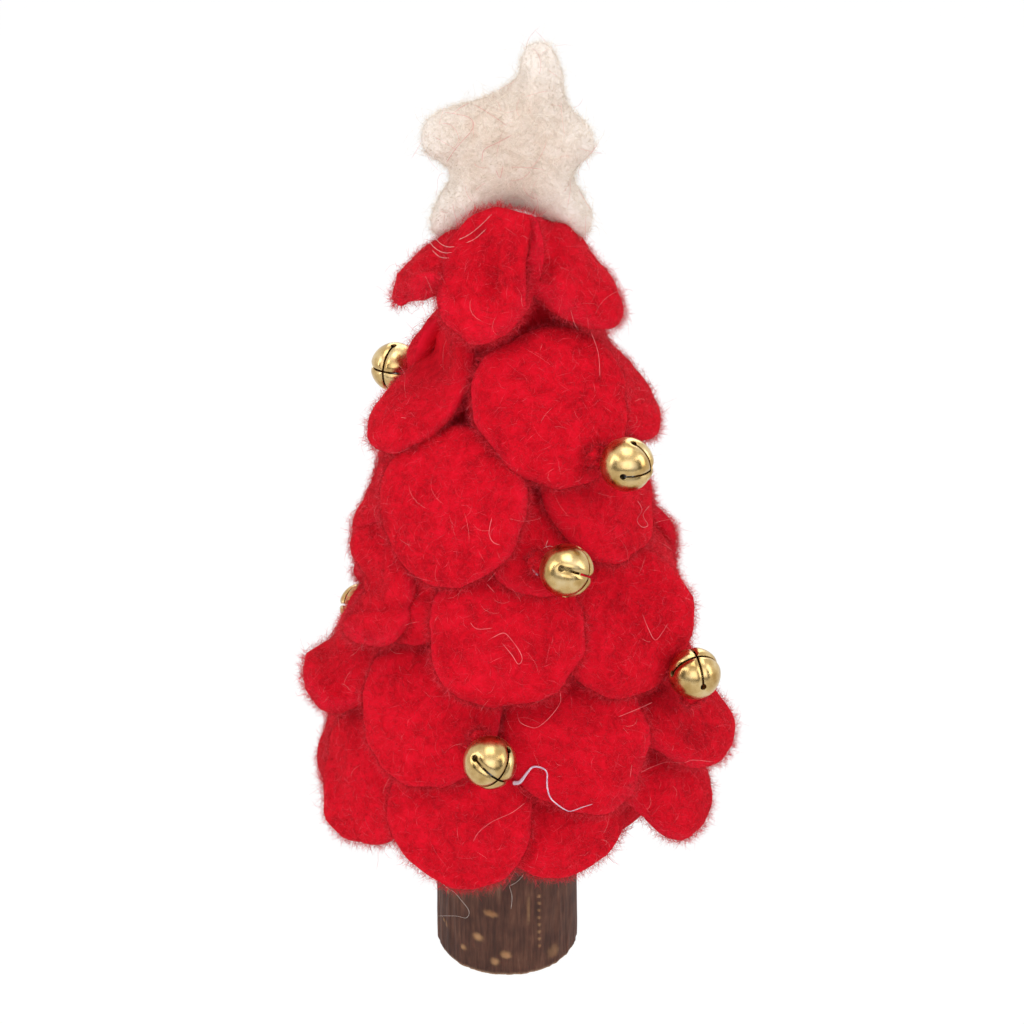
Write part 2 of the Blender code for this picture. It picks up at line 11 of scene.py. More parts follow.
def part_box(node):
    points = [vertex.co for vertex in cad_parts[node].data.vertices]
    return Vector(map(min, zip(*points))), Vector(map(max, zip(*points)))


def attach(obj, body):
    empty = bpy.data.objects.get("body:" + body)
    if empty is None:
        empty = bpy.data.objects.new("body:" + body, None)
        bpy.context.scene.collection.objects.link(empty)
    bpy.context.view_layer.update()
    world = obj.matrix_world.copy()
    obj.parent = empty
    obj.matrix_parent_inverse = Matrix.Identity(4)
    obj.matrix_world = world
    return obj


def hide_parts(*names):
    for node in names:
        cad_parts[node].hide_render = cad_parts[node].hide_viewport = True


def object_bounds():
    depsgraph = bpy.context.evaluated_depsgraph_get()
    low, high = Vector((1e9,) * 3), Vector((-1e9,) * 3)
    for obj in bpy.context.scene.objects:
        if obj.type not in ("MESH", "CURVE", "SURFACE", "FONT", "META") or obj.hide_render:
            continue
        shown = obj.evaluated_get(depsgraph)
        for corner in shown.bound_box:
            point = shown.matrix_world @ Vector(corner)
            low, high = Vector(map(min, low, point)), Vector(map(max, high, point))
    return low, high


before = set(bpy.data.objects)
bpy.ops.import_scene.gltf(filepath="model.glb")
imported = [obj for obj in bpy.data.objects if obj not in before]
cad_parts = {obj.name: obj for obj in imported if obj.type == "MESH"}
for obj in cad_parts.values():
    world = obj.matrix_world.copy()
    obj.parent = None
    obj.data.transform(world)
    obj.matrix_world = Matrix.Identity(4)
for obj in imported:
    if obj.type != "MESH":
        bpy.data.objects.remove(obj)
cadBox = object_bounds()

mm = 0.001

# The photograph's camera, which the places given in pixels are looked up through
photo = {
    "pixels": 1024,
    "lens": 74.2,
    "sensor": 36.0,
    "place": (0.001, -0.365, 0.253),
    "tilt": math.radians(66.6),
}
photoFocal = photo["lens"] / photo["sensor"] * photo["pixels"]
photoMiddle = photo["pixels"] / 2
photoTurn = Matrix.Rotation(photo["tilt"], 3, 'X')


# Small helpers

def linearColour(hexText):  # sRGB hex to the linear values that shaders take
    channels = [int(hexText[start:start + 2], 16) / 255 for start in (1, 3, 5)]
    return tuple(c / 12.92 if c <= 0.04045 else ((c + 0.055) / 1.055) ** 2.4 for c in channels) + (1.0,)


def setInputs(tree, node, inputs):  # each input is given a value or another node's output
    for name, value in inputs.items():
        if isinstance(value, bpy.types.NodeSocket):
            tree.links.new(value, node.inputs[name])
        else:
            node.inputs[name].default_value = value


# A ramp node's stops are (place, hex colour)
def addNode(tree, kind, settings=None, inputs=None, stops=()):
    node = tree.nodes.new(kind)
    for name, value in (settings or {}).items():
        setattr(node, name, value)
    setInputs(tree, node, inputs or {})
    for number, (place, colour) in enumerate(stops):
        elements = node.color_ramp.elements
        element = elements[number] if number < len(elements) else elements.new(place)
        element.position = place
        element.color = linearColour(colour)
    return node


def perMm(size):  # texture scale whose pattern repeats about every `size` millimetres
    return 1000 / size


def startMaterial(name):
    material = bpy.data.materials.new(name)
    material.use_nodes = True
    tree = material.node_tree
    shader = tree.nodes["Principled BSDF"]
    place = addNode(tree, "ShaderNodeTexCoord").outputs["Object"]
    return material, tree, shader, place


def photoRay(pixel):  # start and direction of the line of sight through a pixel of the photograph
    local = Vector(((pixel[0] - photoMiddle) / photoFocal, (photoMiddle - pixel[1]) / photoFocal, -1))
    return Vector(photo["place"]), (photoTurn @ local).normalized()


def inPhoto(places):  # where points appear in the photograph, as arrays of columns and rows
    seen = (places - np.array(photo["place"])) @ np.array(photoTurn)
    return (photoMiddle - photoFocal * seen[:, 0] / seen[:, 2],
            photoMiddle + photoFocal * seen[:, 1] / seen[:, 2])


def nodeMesh(name):
    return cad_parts[name].data


def copyOfNode(name):
    bm = bmesh.new()
    bm.from_mesh(nodeMesh(name))
    bmesh.ops.remove_doubles(bm, verts=bm.verts[:], dist=0.002 * mm)
    bmesh.ops.join_triangles(bm, faces=bm.faces[:], angle_face_threshold=math.radians(40),
                             angle_shape_threshold=math.pi)
    bm.normal_update()
    return bm


def inOrder(bm):  # sorts by place what a merge or a cut leaves in any order, so that each run is alike
    places = sorted(bm.verts, key=lambda vert: [round(part / mm, 4) for part in vert.co])
    bm.verts.sort(key={vert: number for number, vert in enumerate(places)}.get)
    bm.verts.index_update()
    rings = sorted(bm.faces, key=lambda face: sorted(vert.index for vert in face.verts))
    bm.faces.sort(key={face: number for number, face in enumerate(rings)}.get)
    return bm


def meshOf(bm, name):
    mesh = bpy.data.meshes.new(name)
    bm.to_mesh(mesh)
    bm.free()
    mesh.shade_smooth()
    return mesh


def addObject(name, data):
    made = bpy.data.objects.new(name, data)
    bpy.context.scene.collection.objects.link(made)
    return made


def withModifiers(mesh, addThem):  # the mesh after the modifiers that addThem puts on an object
    holder = addObject(mesh.name, mesh)
    helpers = addThem(holder) or []
    bpy.context.view_layer.update()
    made = bpy.data.meshes.new_from_object(holder.evaluated_get(bpy.context.evaluated_depsgraph_get()))
    for used in [holder] + helpers:
        bpy.data.objects.remove(used, do_unlink=True)
    made.shade_smooth()
    return made


def subdivided(bm, rounds, name):
    def addThem(holder):
        smoothing = holder.modifiers.new("smoothing", 'SUBSURF')
        smoothing.levels = rounds
        smoothing.render_levels = rounds
    return withModifiers(meshOf(bm, name), addThem)


def addPiece(name, mesh, material, body="tree", node=None):
    piece = addObject(name, mesh)
    if not mesh.materials:
        mesh.materials.append(material)
    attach(piece, body)
    if node:
        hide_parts(node)
    return piece


def writeAttribute(mesh, name, values):
    mesh.attributes.new(name, 'FLOAT', 'POINT').data.foreach_set("value", values.astype(np.float32))


def meshFromTriangles(name, points, triangles, tone):
    mesh = bpy.data.meshes.new(name)
    mesh.vertices.add(len(points))
    mesh.vertices.foreach_set("co", points.astype(np.float32).ravel())
    mesh.loops.add(triangles.size)
    mesh.loops.foreach_set("vertex_index", triangles.astype(np.int32).ravel())
    mesh.polygons.add(len(triangles))
    mesh.polygons.foreach_set("loop_start", np.arange(0, triangles.size, 3, dtype=np.int32))
    mesh.update(calc_edges=True)
    mesh.shade_smooth()
    writeAttribute(mesh, "tone", tone)
    return mesh


def readValues(items, name, kind=np.float32, width=3):
    values = np.empty(len(items) * width, dtype=kind)
    items.foreach_get(name, values)
    return values.reshape(-1, width)


def trianglesOf(mesh):  # corners, outward normals and areas of a mesh's triangles, as arrays
    mesh.calc_loop_triangles()
    numbers = readValues(mesh.loop_triangles, "vertices", np.int32)
    corners = readValues(mesh.vertices, "co")[numbers].astype(float)
    normals = np.cross(corners[:, 1] - corners[:, 0], corners[:, 2] - corners[:, 0])
    areas = np.linalg.norm(normals, axis=1)
    return corners, normals / np.maximum(areas, 1e-18)[:, None], areas / 2


def readMesh(mesh):  # places and normals of the vertices, as arrays
    return (readValues(mesh.vertices, "co").astype(float),
            readValues(mesh.vertex_normals, "vector").astype(float))


def writeMesh(mesh, places):
    mesh.vertices.foreach_set("co", places.astype(np.float32).ravel())
    mesh.update()


def swell(mesh, lumps):  # pushes the surface in and out by noise; a lump is its size and depth
    places, normals = readMesh(mesh)
    amounts = np.zeros(len(places))
    for size, depth in lumps:
        amounts += [depth * noise.noise(place) for place in places / (size * mm)]
    writeMesh(mesh, places + normals * amounts[:, None] * mm)


def unit(vectors):
    return vectors / np.maximum(np.linalg.norm(vectors, axis=-1, keepdims=True), 1e-12)


def treeOf(meshes):  # for rays cast at meshes
    points, faces = [], []
    for mesh in meshes:
        start = len(points)
        points += [vert.co.copy() for vert in mesh.vertices]
        faces += [[start + corner for corner in face.vertices] for face in mesh.polygons]
    return BVHTree.FromPolygons(points, faces)


feltNodes = sorted(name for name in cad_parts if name.startswith("petal_"))
solids = treeOf(map(nodeMesh, feltNodes + ["core", "star", "star_glue", "trunk"]))


def openShares(corners, normals, cover):  # 1 where nothing lies close over a face, else nearly 0
    shares = np.ones(len(corners))
    for number, (centre, normal) in enumerate(zip(corners.mean(axis=1), normals)):
        outwards = Vector((centre[0], centre[1], 0)).normalized()
        direction = (Vector(normal) + outwards * cover["outwards"]).normalized()
        start = Vector(centre) + Vector(normal) * cover["skip"] * mm
        hit, facing = solids.ray_cast(start, direction, cover["reach"] * mm)[:2]
        if hit is not None and facing.dot(direction) > 0:  # it started just inside its own petal
            hit = solids.ray_cast(hit + direction * cover["past"] * mm, direction, cover["reach"] * mm)[0]
        if hit is not None:
            shares[number] = cover["hiddenShare"]
    return shares


# Red wool felt, needle-punched and dyed: matt, mottled every 1 to 2 mm, with a web of fibres on top;
# its "edge" colour is a painted highlight at a cut edge, for the light that the fuzz there catches
redFelt = {
    "deep": "#9C0212", "middle": "#C0061A", "bright": "#D20C24", "fibre": "#DC1C34", "edge": "#DE1630",
    "mottle": 2.1, "broad": 9.0, "web": 0.9, "grain": 0.35, "webShare": 0.3,
}
# The wrap of the core is the same felt, seen only deep between the petals; its colours are painted a little
# brighter than the petals' to lighten the shade there
brightenedWrapFelt = {
    **redFelt,
    "deep": "#A80316", "middle": "#C6061C", "bright": "#D60C26", "fibre": "#DA162E", "edge": "#D60C26",
}
# Undyed wool for the star, needle-felted to a firm pad, with a few red fibres worked in
creamFelt = {
    "deep": "#CFB7A6", "middle": "#DACABC", "bright": "#E3D6CC", "fibre": "#E0BFB4", "edge": "#EEE6E0",
    "mottle": 2.6, "broad": 9.0, "web": 1.3, "grain": 0.35, "webShare": 0.2,
}


def feltMaterial(name, look):
    material, tree, shader, place = startMaterial(name)
    mottle = addNode(tree, "ShaderNodeTexNoise", inputs={
        "Vector": place, "Scale": perMm(look["mottle"]), "Detail": 5.0, "Roughness": 0.62, "Distortion": 0.6,
    })
    broad = addNode(tree, "ShaderNodeTexNoise", inputs={"Vector": place, "Scale": perMm(look["broad"])})
    mixed = addNode(tree, "ShaderNodeMix", {"data_type": 'FLOAT'}, {
        0: 0.35, 2: mottle.outputs["Fac"], 3: broad.outputs["Fac"],
    })
    colour = addNode(tree, "ShaderNodeValToRGB", inputs={"Fac": mixed.outputs[0]}, stops=[
        (0.32, look["deep"]), (0.5, look["middle"]), (0.66, look["bright"]),
    ])
    # The web: edges of bent cells, thin as fibres that lie across each other
    bend = addNode(tree, "ShaderNodeTexNoise", inputs={"Vector": place, "Scale": perMm(look["web"] * 1.6)})
    bent = addNode(tree, "ShaderNodeVectorMath", {"operation": 'MULTIPLY_ADD'},
                   {0: bend.outputs["Color"], 1: (look["web"] * 2.2 * mm,) * 3, 2: place})
    cells = addNode(tree, "ShaderNodeTexVoronoi", {"feature": 'DISTANCE_TO_EDGE'},
                    {"Vector": bent.outputs["Vector"], "Scale": perMm(look["web"])})
    web = addNode(tree, "ShaderNodeMapRange", inputs={
        "Value": cells.outputs["Distance"], "From Max": 0.09, "To Min": look["webShare"], "To Max": 0.0,
    }).outputs["Result"]
    webbed = addNode(tree, "ShaderNodeMix", {"data_type": 'RGBA'}, {
        0: web, 6: colour.outputs["Color"], 7: linearColour(look["fibre"]),
    })
    # Painted highlight: a petal's cut edge is paler than the pressed middle, for the light its fuzz catches;
    # the star is paler towards its points
    rim = addNode(tree, "ShaderNodeAttribute", {"attribute_name": "rim"})
    rimShare = addNode(tree, "ShaderNodeMath", {"operation": 'MULTIPLY'}, {0: rim.outputs["Fac"], 1: 0.8})
    edged = addNode(tree, "ShaderNodeMix", {"data_type": 'RGBA'}, {
        0: rimShare.outputs["Value"], 6: webbed.outputs[2], 7: linearColour(look["edge"]),
    })
    grain = addNode(tree, "ShaderNodeTexNoise", inputs={
        "Vector": place, "Scale": perMm(look["grain"]), "Detail": 3.0, "Roughness": 0.7,
    })
    height = addNode(tree, "ShaderNodeMath", {"operation": 'MULTIPLY_ADD'},
                     {0: web, 1: 0.8, 2: grain.outputs["Fac"]})
    bump = addNode(tree, "ShaderNodeBump", inputs={
        "Height": height.outputs["Value"], "Strength": 0.4, "Distance": 0.14 * mm,
    })
    setInputs(tree, shader, {
        "Base Color": edged.outputs[2], "Normal": bump.outputs["Normal"], "Roughness": 0.95,
        "Specular IOR Level": 0.1, "Sheen Weight": 0.25, "Sheen Roughness": 0.5,
        "Sheen Tint": linearColour(look["bright"]),
    })
    return material


def fibreMaterial(name, stops):  # loose wool fibres, each with a tone of its own
    material, tree, shader, place = startMaterial(name)
    tone = addNode(tree, "ShaderNodeAttribute", {"attribute_name": "tone"})
    colour = addNode(tree, "ShaderNodeValToRGB", inputs={"Fac": tone.outputs["Fac"]}, stops=stops)
    setInputs(tree, shader, {
        "Base Color": colour.outputs["Color"], "Roughness": 0.7, "Specular IOR Level": 0.2,
        "Sheen Weight": 0.5, "Sheen Roughness": 0.4, "Sheen Tint": linearColour(stops[-2][1]),
    })
    return material


# How felt that lies over a place is found, and what share of the fibres is left there. A ray starts
# `skip` off the felt, leans outwards, and starts again `past` its own petal; in millimetres
fibreCover = {"skip": 0.5, "past": 0.05, "reach": 6.0, "outwards": 1.1, "hiddenShare": 0.03}
# How far a fibre's root is sunk into the felt in millimetres, and how its width varies
fibreRoot = {"sunk": 0.08, "widths": (0.7, 1.2)}


# Loose fibres in millimetres, but perMm2 is a count, rimMore what is added to it at a cut edge as a
# share, rings the count of a fibre's points between its ends, and bend its turn in radians. A tip
# stands off the felt by `tip`, and the middle is raised by `rise`
def fibreSpecs(*rows):
    names = ("perMm2", "rimMore", "rings", "length", "bend", "rise", "tip", "width", "tone")
    return [dict(zip(names, row)) for row in rows]


redFibres = fibreSpecs(  # a web that lies flat, spikes, fuzz of the cut edge, hairs, long pale hairs
    (0.8, 0.0, 1, (1.3, 3.8), 0.7, (0.2, 0.5), (0.0, 0.5), 0.06, (0.1, 0.95)),
    (2.0, 0.6, 0, (0.4, 1.3), 0.0, (0.0, 0.0), (0.4, 1.2), 0.06, (0.0, 0.88)),
    # the fuzz of the cut edge has a paler tone range than the spikes: a painted glow for light shining
    # through it
    (0.5, 22.0, 1, (0.7, 2.4), 0.9, (0.0, 0.3), (0.3, 1.9), 0.045, (0.35, 0.92)),
    (0.25, 2.0, 1, (1.6, 4.0), 0.8, (0.2, 0.7), (0.3, 2.2), 0.04, (0.6, 0.94)),
    (0.03, 1.5, 4, (2.0, 6.5), 1.1, (0.3, 1.1), (-0.1, 1.4), 0.035, (0.8, 1.0)),
)
wrapFibres = fibreSpecs((0.9, 0.0, 1, (1.5, 3.0), 0.7, (0.1, 0.6), (0.2, 1.2), 0.09, (0.2, 0.75)))
creamFibres = fibreSpecs(  # a web that lies flat, spikes, hairs, and a few red ones
    (3.0, 0.0, 1, (1.5, 3.2), 0.7, (0.0, 0.2), (-0.1, 0.2), 0.05, (0.2, 1.0)),
    (9.0, 0.0, 0, (0.4, 1.4), 0.0, (0.0, 0.0), (0.4, 1.5), 0.045, (0.3, 1.0)),
    (0.4, 0.0, 4, (3.0, 7.0), 1.0, (0.2, 0.9), (0.0, 1.6), 0.04, (0.5, 1.0)),
    (0.05, 0.0, 4, (3.0, 8.0), 1.0, (0.1, 0.4), (-0.1, 0.3), 0.04, (0.0, 0.15)),
)
tuftFibres = fibreSpecs((12.0, 0.0, 1, (1.0, 2.6), 0.9, (0.1, 0.5), (0.1, 0.9), 0.08, (0.1, 0.88)))


def fibreFaces(rings):  # a root, rings of three points and a tip, numbered in that order
    if not rings:  # a straight spike: three points at the root and a tip
        return np.array([(2, 1, 0), (0, 1, 3), (1, 2, 3), (2, 0, 3)])
    faces = [(1 + (side + 1) % 3, 1 + side, 0) for side in range(3)]
    for ring in range(rings - 1):
        low, high = 1 + 3 * ring, 4 + 3 * ring
        for side in range(3):
            nxt = (side + 1) % 3
            faces += [(low + side, low + nxt, high + nxt), (low + side, high + nxt, high + side)]
    last = 1 + 3 * (rings - 1)
    return np.array(faces + [(last + side, last + (side + 1) % 3, last + 3) for side in range(3)])


def makeFibres(roots, normals, spec, rng):
    count, rings = len(roots), spec["rings"]
    along = rng.normal(size=(count, 3))
    along = unit(along - normals * (along * normals).sum(axis=1, keepdims=True))
    across = np.cross(normals, along)
    shares = np.linspace(0, 1, rings + 2)[None, :]
    turns = rng.normal(0, spec["bend"], (count, 1)) * shares
    step = rng.uniform(*spec["length"], (count, 1)) * mm / (rings + 1)
    forward = np.cumsum(np.cos(turns) * step, axis=1) - step
    sideways = np.cumsum(np.sin(turns) * step, axis=1)
    height = rng.uniform(*spec["rise"], (count, 1)) * np.sin(math.pi * shares)
    height += rng.uniform(*spec["tip"], (count, 1)) * shares ** 2 - fibreRoot["sunk"] * (shares == 0)
    path = roots[:, None] + normals[:, None] * height[:, :, None] * mm
    path += along[:, None] * forward[:, :, None] + across[:, None] * sideways[:, :, None]
    centres = path[:, 1:-1] if rings else path[:, :1]
    ahead = unit(path[:, 2:] - path[:, :-2] if rings else path[:, 1:] - path[:, :-1])
    side = unit(np.cross(ahead, normals[:, None]))
    up = np.cross(side, ahead)
    half = (spec["width"] / 2 * mm * rng.uniform(*fibreRoot["widths"], (count, 1)))[:, :, None]
    ring = [centres + (side * math.cos(angle) - up * math.sin(angle)) * half
            for angle in (0, math.tau / 3, 2 * math.tau / 3)]
    middle = np.stack(ring, axis=2).reshape(count, -1, 3)
    points = np.concatenate([path[:, :1], middle, path[:, -1:]] if rings else [middle, path[:, -1:]], axis=1)
    size = points.shape[1]
    faces = (np.arange(count) * size)[:, None, None] + fibreFaces(rings)
    return points.reshape(-1, 3), faces.reshape(-1, 3), np.repeat(rng.uniform(*spec["tone"], count), size)


def rimShares(mesh):  # how near each triangle is to the cut edge, from 0 to 1
    if "rim" not in mesh.attributes:
        return 0
    values = readValues(mesh.attributes["rim"].data, "value", width=1)[:, 0]
    return values[readValues(mesh.loop_triangles, "vertices", np.int32)].mean(axis=1)


def feltNap(name, mesh, specs, material, seed, cover=fibreCover):
    rng = np.random.default_rng(seed)
    corners, normals, areas = trianglesOf(mesh)
    openAreas = areas * openShares(corners, normals, cover)
    rim = rimShares(mesh)
    points, faces, tones, start = [], [], [], 0
    for spec in specs:
        weights = openAreas * (1 + spec["rimMore"] * rim)
        count = int(weights.sum() / mm ** 2 * spec["perMm2"])
        chosen = rng.choice(len(weights), count, p=weights / weights.sum())
        shares = rng.dirichlet((1, 1, 1), count)
        roots = (corners[chosen] * shares[:, :, None]).sum(axis=1)
        made, madeFaces, tone = makeFibres(roots, normals[chosen], spec, rng)
        points.append(made)
        faces.append(madeFaces + start)
        tones.append(tone)
        start += len(made)
    nap = meshFromTriangles(name, np.concatenate(points), np.concatenate(faces), np.concatenate(tones))
    addPiece(name, nap, material)
    return len(nap.polygons)


# Petals: discs cut from 2.5 mm felt, soft at the cut edge and a little lumpy
petal = {
    "rounds": 2, "rimAngle": math.radians(48), "thicken": 0.5, "crown": 1.5, "edgeOut": 0.8, "ringOut": 1.2,
    "lumps": ((10.0, 1.2), (4.0, 0.6), (1.9, 0.18)),
}
# Where glue pinches petals: middle, half width and half height in the photograph's pixels, and depth
# in millimetres
pinches = {
    "petal_row1_4": (((490, 274), 10, 28, 4.0), ((538, 264), 9, 42, 4.0)),
    "petal_row1_3": (((546, 262), 12, 34, 2.0),),
    "petal_row4_2": (((386, 607), 46, 6, 1.8),),
}
# Where petals and the star are pressed out of round: middle, half width and half height in pixels, the
# shift in millimetres, and at times the share by which the width is squeezed
drawn = {
    "petal_row1_4": (((482, 216), 90, 60, (5.5, 0, 1.2)), ((488, 285), 130, 130, (0, 0, 0), 0.26)),
    "petal_row1_3": (((630, 300), 60, 60, (-1.8, 0, 0)), ((552, 228), 40, 28, (-0.6, 0, 2.2))),
    "petal_row1_2": (((412, 320), 48, 42, (0.4, 0, 3.6)), ((432, 308), 24, 22, (0, 0, 2.8)),
                     ((388, 305), 20, 20, (1.2, 0, 1.4))),
    "petal_row2_4": (((400, 350), 46, 54, (4.6, 0.4, -2.2)), ((407, 345), 28, 34, (2.2, 0, -0.8))),
    "petal_row4_2": (((346, 588), 30, 27, (4.4, 0, 0)),),
    "petal_row3_2": (((350, 500), 34, 44, (1.8, 0, -0.8)),),
    "petal_row4_3": (((704, 585), 40, 50, (-3.2, 0, -2.4)),),
    "petal_row5_1": (((292, 685), 32, 32, (2.4, 0, 3.0)),),
    "star": (((446, 177), 14, 20, (1.7, 0, 0)), ((426, 148), 16, 14, (-0.6, 0, -1.0)),
             ((581, 179), 12, 18, (-1.2, 0, 0)), ((508, 90), 18, 28, (2.3, 0, 0))),
}


def nearMark(seen, pixel, halfWide, halfHigh):  # 1 at the mark, fading to 0 round it
    return np.exp(-(((seen[0] - pixel[0]) / halfWide) ** 2 + ((seen[1] - pixel[1]) / halfHigh) ** 2))


def pressPinches(mesh, marks):
    places, normals = readMesh(mesh)
    seen = inPhoto(places)
    facing = ((places - np.array(photo["place"])) * normals).sum(axis=1) < 0
    for *mark, depth in marks:
        places -= normals * (facing * depth * mm * nearMark(seen, *mark))[:, None]
    writeMesh(mesh, places)


def drawOut(mesh, marks):
    places = readMesh(mesh)[0]
    seen = inPhoto(places)
    for pixel, halfWide, halfHigh, shift, *squeeze in marks:
        shares = nearMark(seen, pixel, halfWide, halfHigh)
        middle = (places[:, 0] * shares).sum() / shares.sum()
        places += shares[:, None] * np.array(shift) * mm
        places[:, 0] += shares * sum(squeeze) * (middle - places[:, 0])
    writeMesh(mesh, places)


def feltPetalMesh(name):
    bm = copyOfNode(name)
    rimLayer = bm.verts.layers.float.new("rim")
    rim = {vert for edge in bm.edges if edge.calc_face_angle(0) > petal["rimAngle"] for vert in edge.verts}
    moves = {}
    for vert in [vert for vert in bm.verts if vert in rim]:
        vert[rimLayer] = 1
        inner = [edge.other_vert(vert).co for edge in vert.link_edges if edge.other_vert(vert) not in rim]
        if inner:
            moves[vert] = (vert.co - sum(inner, Vector()) / len(inner)).normalized()
    ring = {}
    for vert, move in moves.items():
        vert.co += move * petal["edgeOut"] * mm
        for edge in vert.link_edges:
            near = edge.other_vert(vert)
            if near not in rim:
                ring.setdefault(near, []).append(move)
    for vert, nearMoves in ring.items():
        vert.co += sum(nearMoves, Vector()) / len(nearMoves) * petal["ringOut"] * mm
    middle = sum((vert.co for vert in bm.verts), Vector()) / len(bm.verts)
    reach = max((vert.co - middle).length for vert in bm.verts)
    for vert in bm.verts:
        if vert not in rim:
            far = (vert.co - middle).length / reach
            vert.co += vert.normal * (petal["thicken"] + petal["crown"] * (1 - far ** 2)) * mm
    mesh = subdivided(bm, petal["rounds"], name + "_felt")
    swell(mesh, petal["lumps"])
    drawOut(mesh, drawn.get(name, ()))
    pressPinches(mesh, pinches.get(name, ()))
    return mesh


redFeltMaterial = feltMaterial("red wool felt, needle-punched and dyed", redFelt)
redFibreMaterial = fibreMaterial("loose dyed wool fibres", [
    (0.0, "#8E020E"), (0.45, "#C0081A"), (0.82, "#DE1C30"), (0.93, "#EC5664"), (1.0, "#F8A8A6"),
])
triangleCount = 0
feltMeshes = {}
for number, node in enumerate(feltNodes):
    feltMeshes[node] = feltPetalMesh(node)
    addPiece(node + "_felt", feltMeshes[node], redFeltMaterial, node=node)
    triangleCount += feltNap(node + "_nap", feltMeshes[node], redFibres, redFibreMaterial,
                             seed=100 + number)
print("petals:", len(feltNodes), "with", triangleCount, "triangles of fibres")


# Core: a cone rolled from the same felt
core = {
    "sides": 96, "levels": 60, "tipRadius": 4.0, "edge": 1.0, "socketGap": 0.3,
    "bulge": 1.8, "bulgeRise": 12, "lumps": ((6.0, 0.3), (1.8, 0.12)),
}


def makeCore():
    low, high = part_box("core")
    footRadius = (high.x - low.x) / 2
    tipRadius, edge, gap = core["tipRadius"] * mm, core["edge"] * mm, core["socketGap"] * mm
    trunkLow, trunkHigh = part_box("trunk")
    socket = (trunkHigh.x - trunkLow.x) / 2 + gap
    profile = [
        (0, trunkHigh.z + gap), (socket, trunkHigh.z + gap), (socket, low.z),
        (footRadius - edge, low.z), (footRadius, low.z + edge), (tipRadius, high.z - edge),
        (tipRadius - edge, high.z), (0, high.z),
    ]
    bm = bmesh.new()
    path = [bm.verts.new((radius, 0, height)) for radius, height in profile]
    edges = [bm.edges.new(pair) for pair in zip(path, path[1:])]
    bmesh.ops.subdivide_edges(bm, edges=[edges[2], edges[4]], cuts=core["levels"])
    bmesh.ops.spin(bm, geom=bm.verts[:] + bm.edges[:], cent=(0, 0, 0), axis=(0, 0, 1), angle=math.tau,
                   steps=core["sides"], use_merge=True)
    bmesh.ops.remove_doubles(bm, verts=bm.verts[:], dist=0.02 * mm)
    bmesh.ops.recalc_face_normals(bm, faces=bm.faces[:])
    mesh = meshOf(inOrder(bm), "core_felt")
    swell(mesh, core["lumps"])
    places, normals = readMesh(mesh)
    heights = (places[:, 2] - low.z) / (high.z - low.z)
    rise = core["bulgeRise"]
    bulge = core["bulge"] * mm * np.clip(heights * rise, 0, 1) * np.clip((1 - heights) * rise, 0, 1)
    outside = np.hypot(places[:, 0], places[:, 1]) > socket + 0.5 * mm
    places[:, :2] += unit(places[:, :2]) * (bulge * np.maximum(outside, heights > 0.5))[:, None]
    writeMesh(mesh, places)
    # the wrap's brighter colours are painted light, lifting the shade deep between the petals
    addPiece("core_felt", mesh, feltMaterial("red wool felt wrap, rolled round the core", brightenedWrapFelt),
             node="core")
    return feltNap("core_nap", mesh, wrapFibres, redFibreMaterial, seed=60)


print("core:", makeCore(), "triangles of fibres")


# Star: a firm pad of needle-felted wool
starPad = {
    "rounds": 2, "thicken": 0.6, "firm": 7.0, "fade": 8.0,
    "lumps": ((5.5, 0.4), (2.2, 0.14), (1.0, 0.05)),
}


def makeStar():
    bm = copyOfNode("star")
    for vert in bm.verts:
        vert.co += vert.normal * starPad["thicken"] * mm
    mesh = subdivided(bm, starPad["rounds"], "star_pad")
    swell(mesh, starPad["lumps"])
    drawOut(mesh, drawn["star"])
    low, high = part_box("star")
    places = readMesh(mesh)[0][:, ::2] - np.array((low + high) / 2)[::2]
    # a share that grows from the star's middle out to its points, where the pad is coloured paler
    loose = np.clip((np.linalg.norm(places, axis=1) / mm - starPad["firm"]) / starPad["fade"], 0, 1)
    writeAttribute(mesh, "rim", loose)
    pad = addPiece("star_pad", mesh, feltMaterial("undyed wool, needle-felted", creamFelt),
                   node="star")
    cream = fibreMaterial("loose undyed wool fibres, a few of them dyed", [
        (0.0, "#D84A52"), (0.1, "#E88C88"), (0.2, "#DCCBBA"), (1.0, "#FFF6EA"),
    ])
    return mesh, feltNap("star_nap", mesh, creamFibres, cream, seed=70)


starMesh, starFibreCount = makeStar()
print("star:", starFibreCount, "triangles of fibres")


# Hot glue, a clear to milky thermoplastic: smooth, soft highlights, faint lilac in patches
def glueMaterial():
    material, tree, shader, place = startMaterial("hot glue, set clear to milky")
    milk = addNode(tree, "ShaderNodeTexNoise", inputs={"Vector": place, "Scale": perMm(1.5)})
    colour = addNode(tree, "ShaderNodeValToRGB", inputs={"Fac": milk.outputs["Fac"]},
                     stops=[(0.35, "#D8BAD6"), (0.65, "#F4E8F4")])
    setInputs(tree, shader, {
        "Base Color": colour.outputs["Color"], "Roughness": 0.22, "IOR": 1.49, "Transmission Weight": 0.45,
    })
    return material


glueLook = glueMaterial()


def makeStarGlue():
    mesh = subdivided(copyOfNode("star_glue"), 2, "star_glue_dab")
    swell(mesh, ((1.8, 0.35),))
    addPiece("star_glue_dab", mesh, glueLook, node="star_glue")


makeStarGlue()
print("star's glue dab")


# Jingle bells: balls pressed from thin brass sheet, four leaves folded over a loose pellet
bell = {
    "radius": 4.75, "wall": 0.35, "sides": 96, "rings": 48,
    "slotWidth": 0.42, "slotEnd": math.radians(76), "holeRadius": 0.58, "holeSides": 24,
    "rollDepth": 0.34, "rollReach": 0.62,
    "eyeRadius": 1.2, "eyeWire": 0.35, "eyeSink": 0.3, "overrun": 1.0,
    "pelletRadius": 1.6, "pelletDrop": 2.32,
    "edge": 0.05,
}
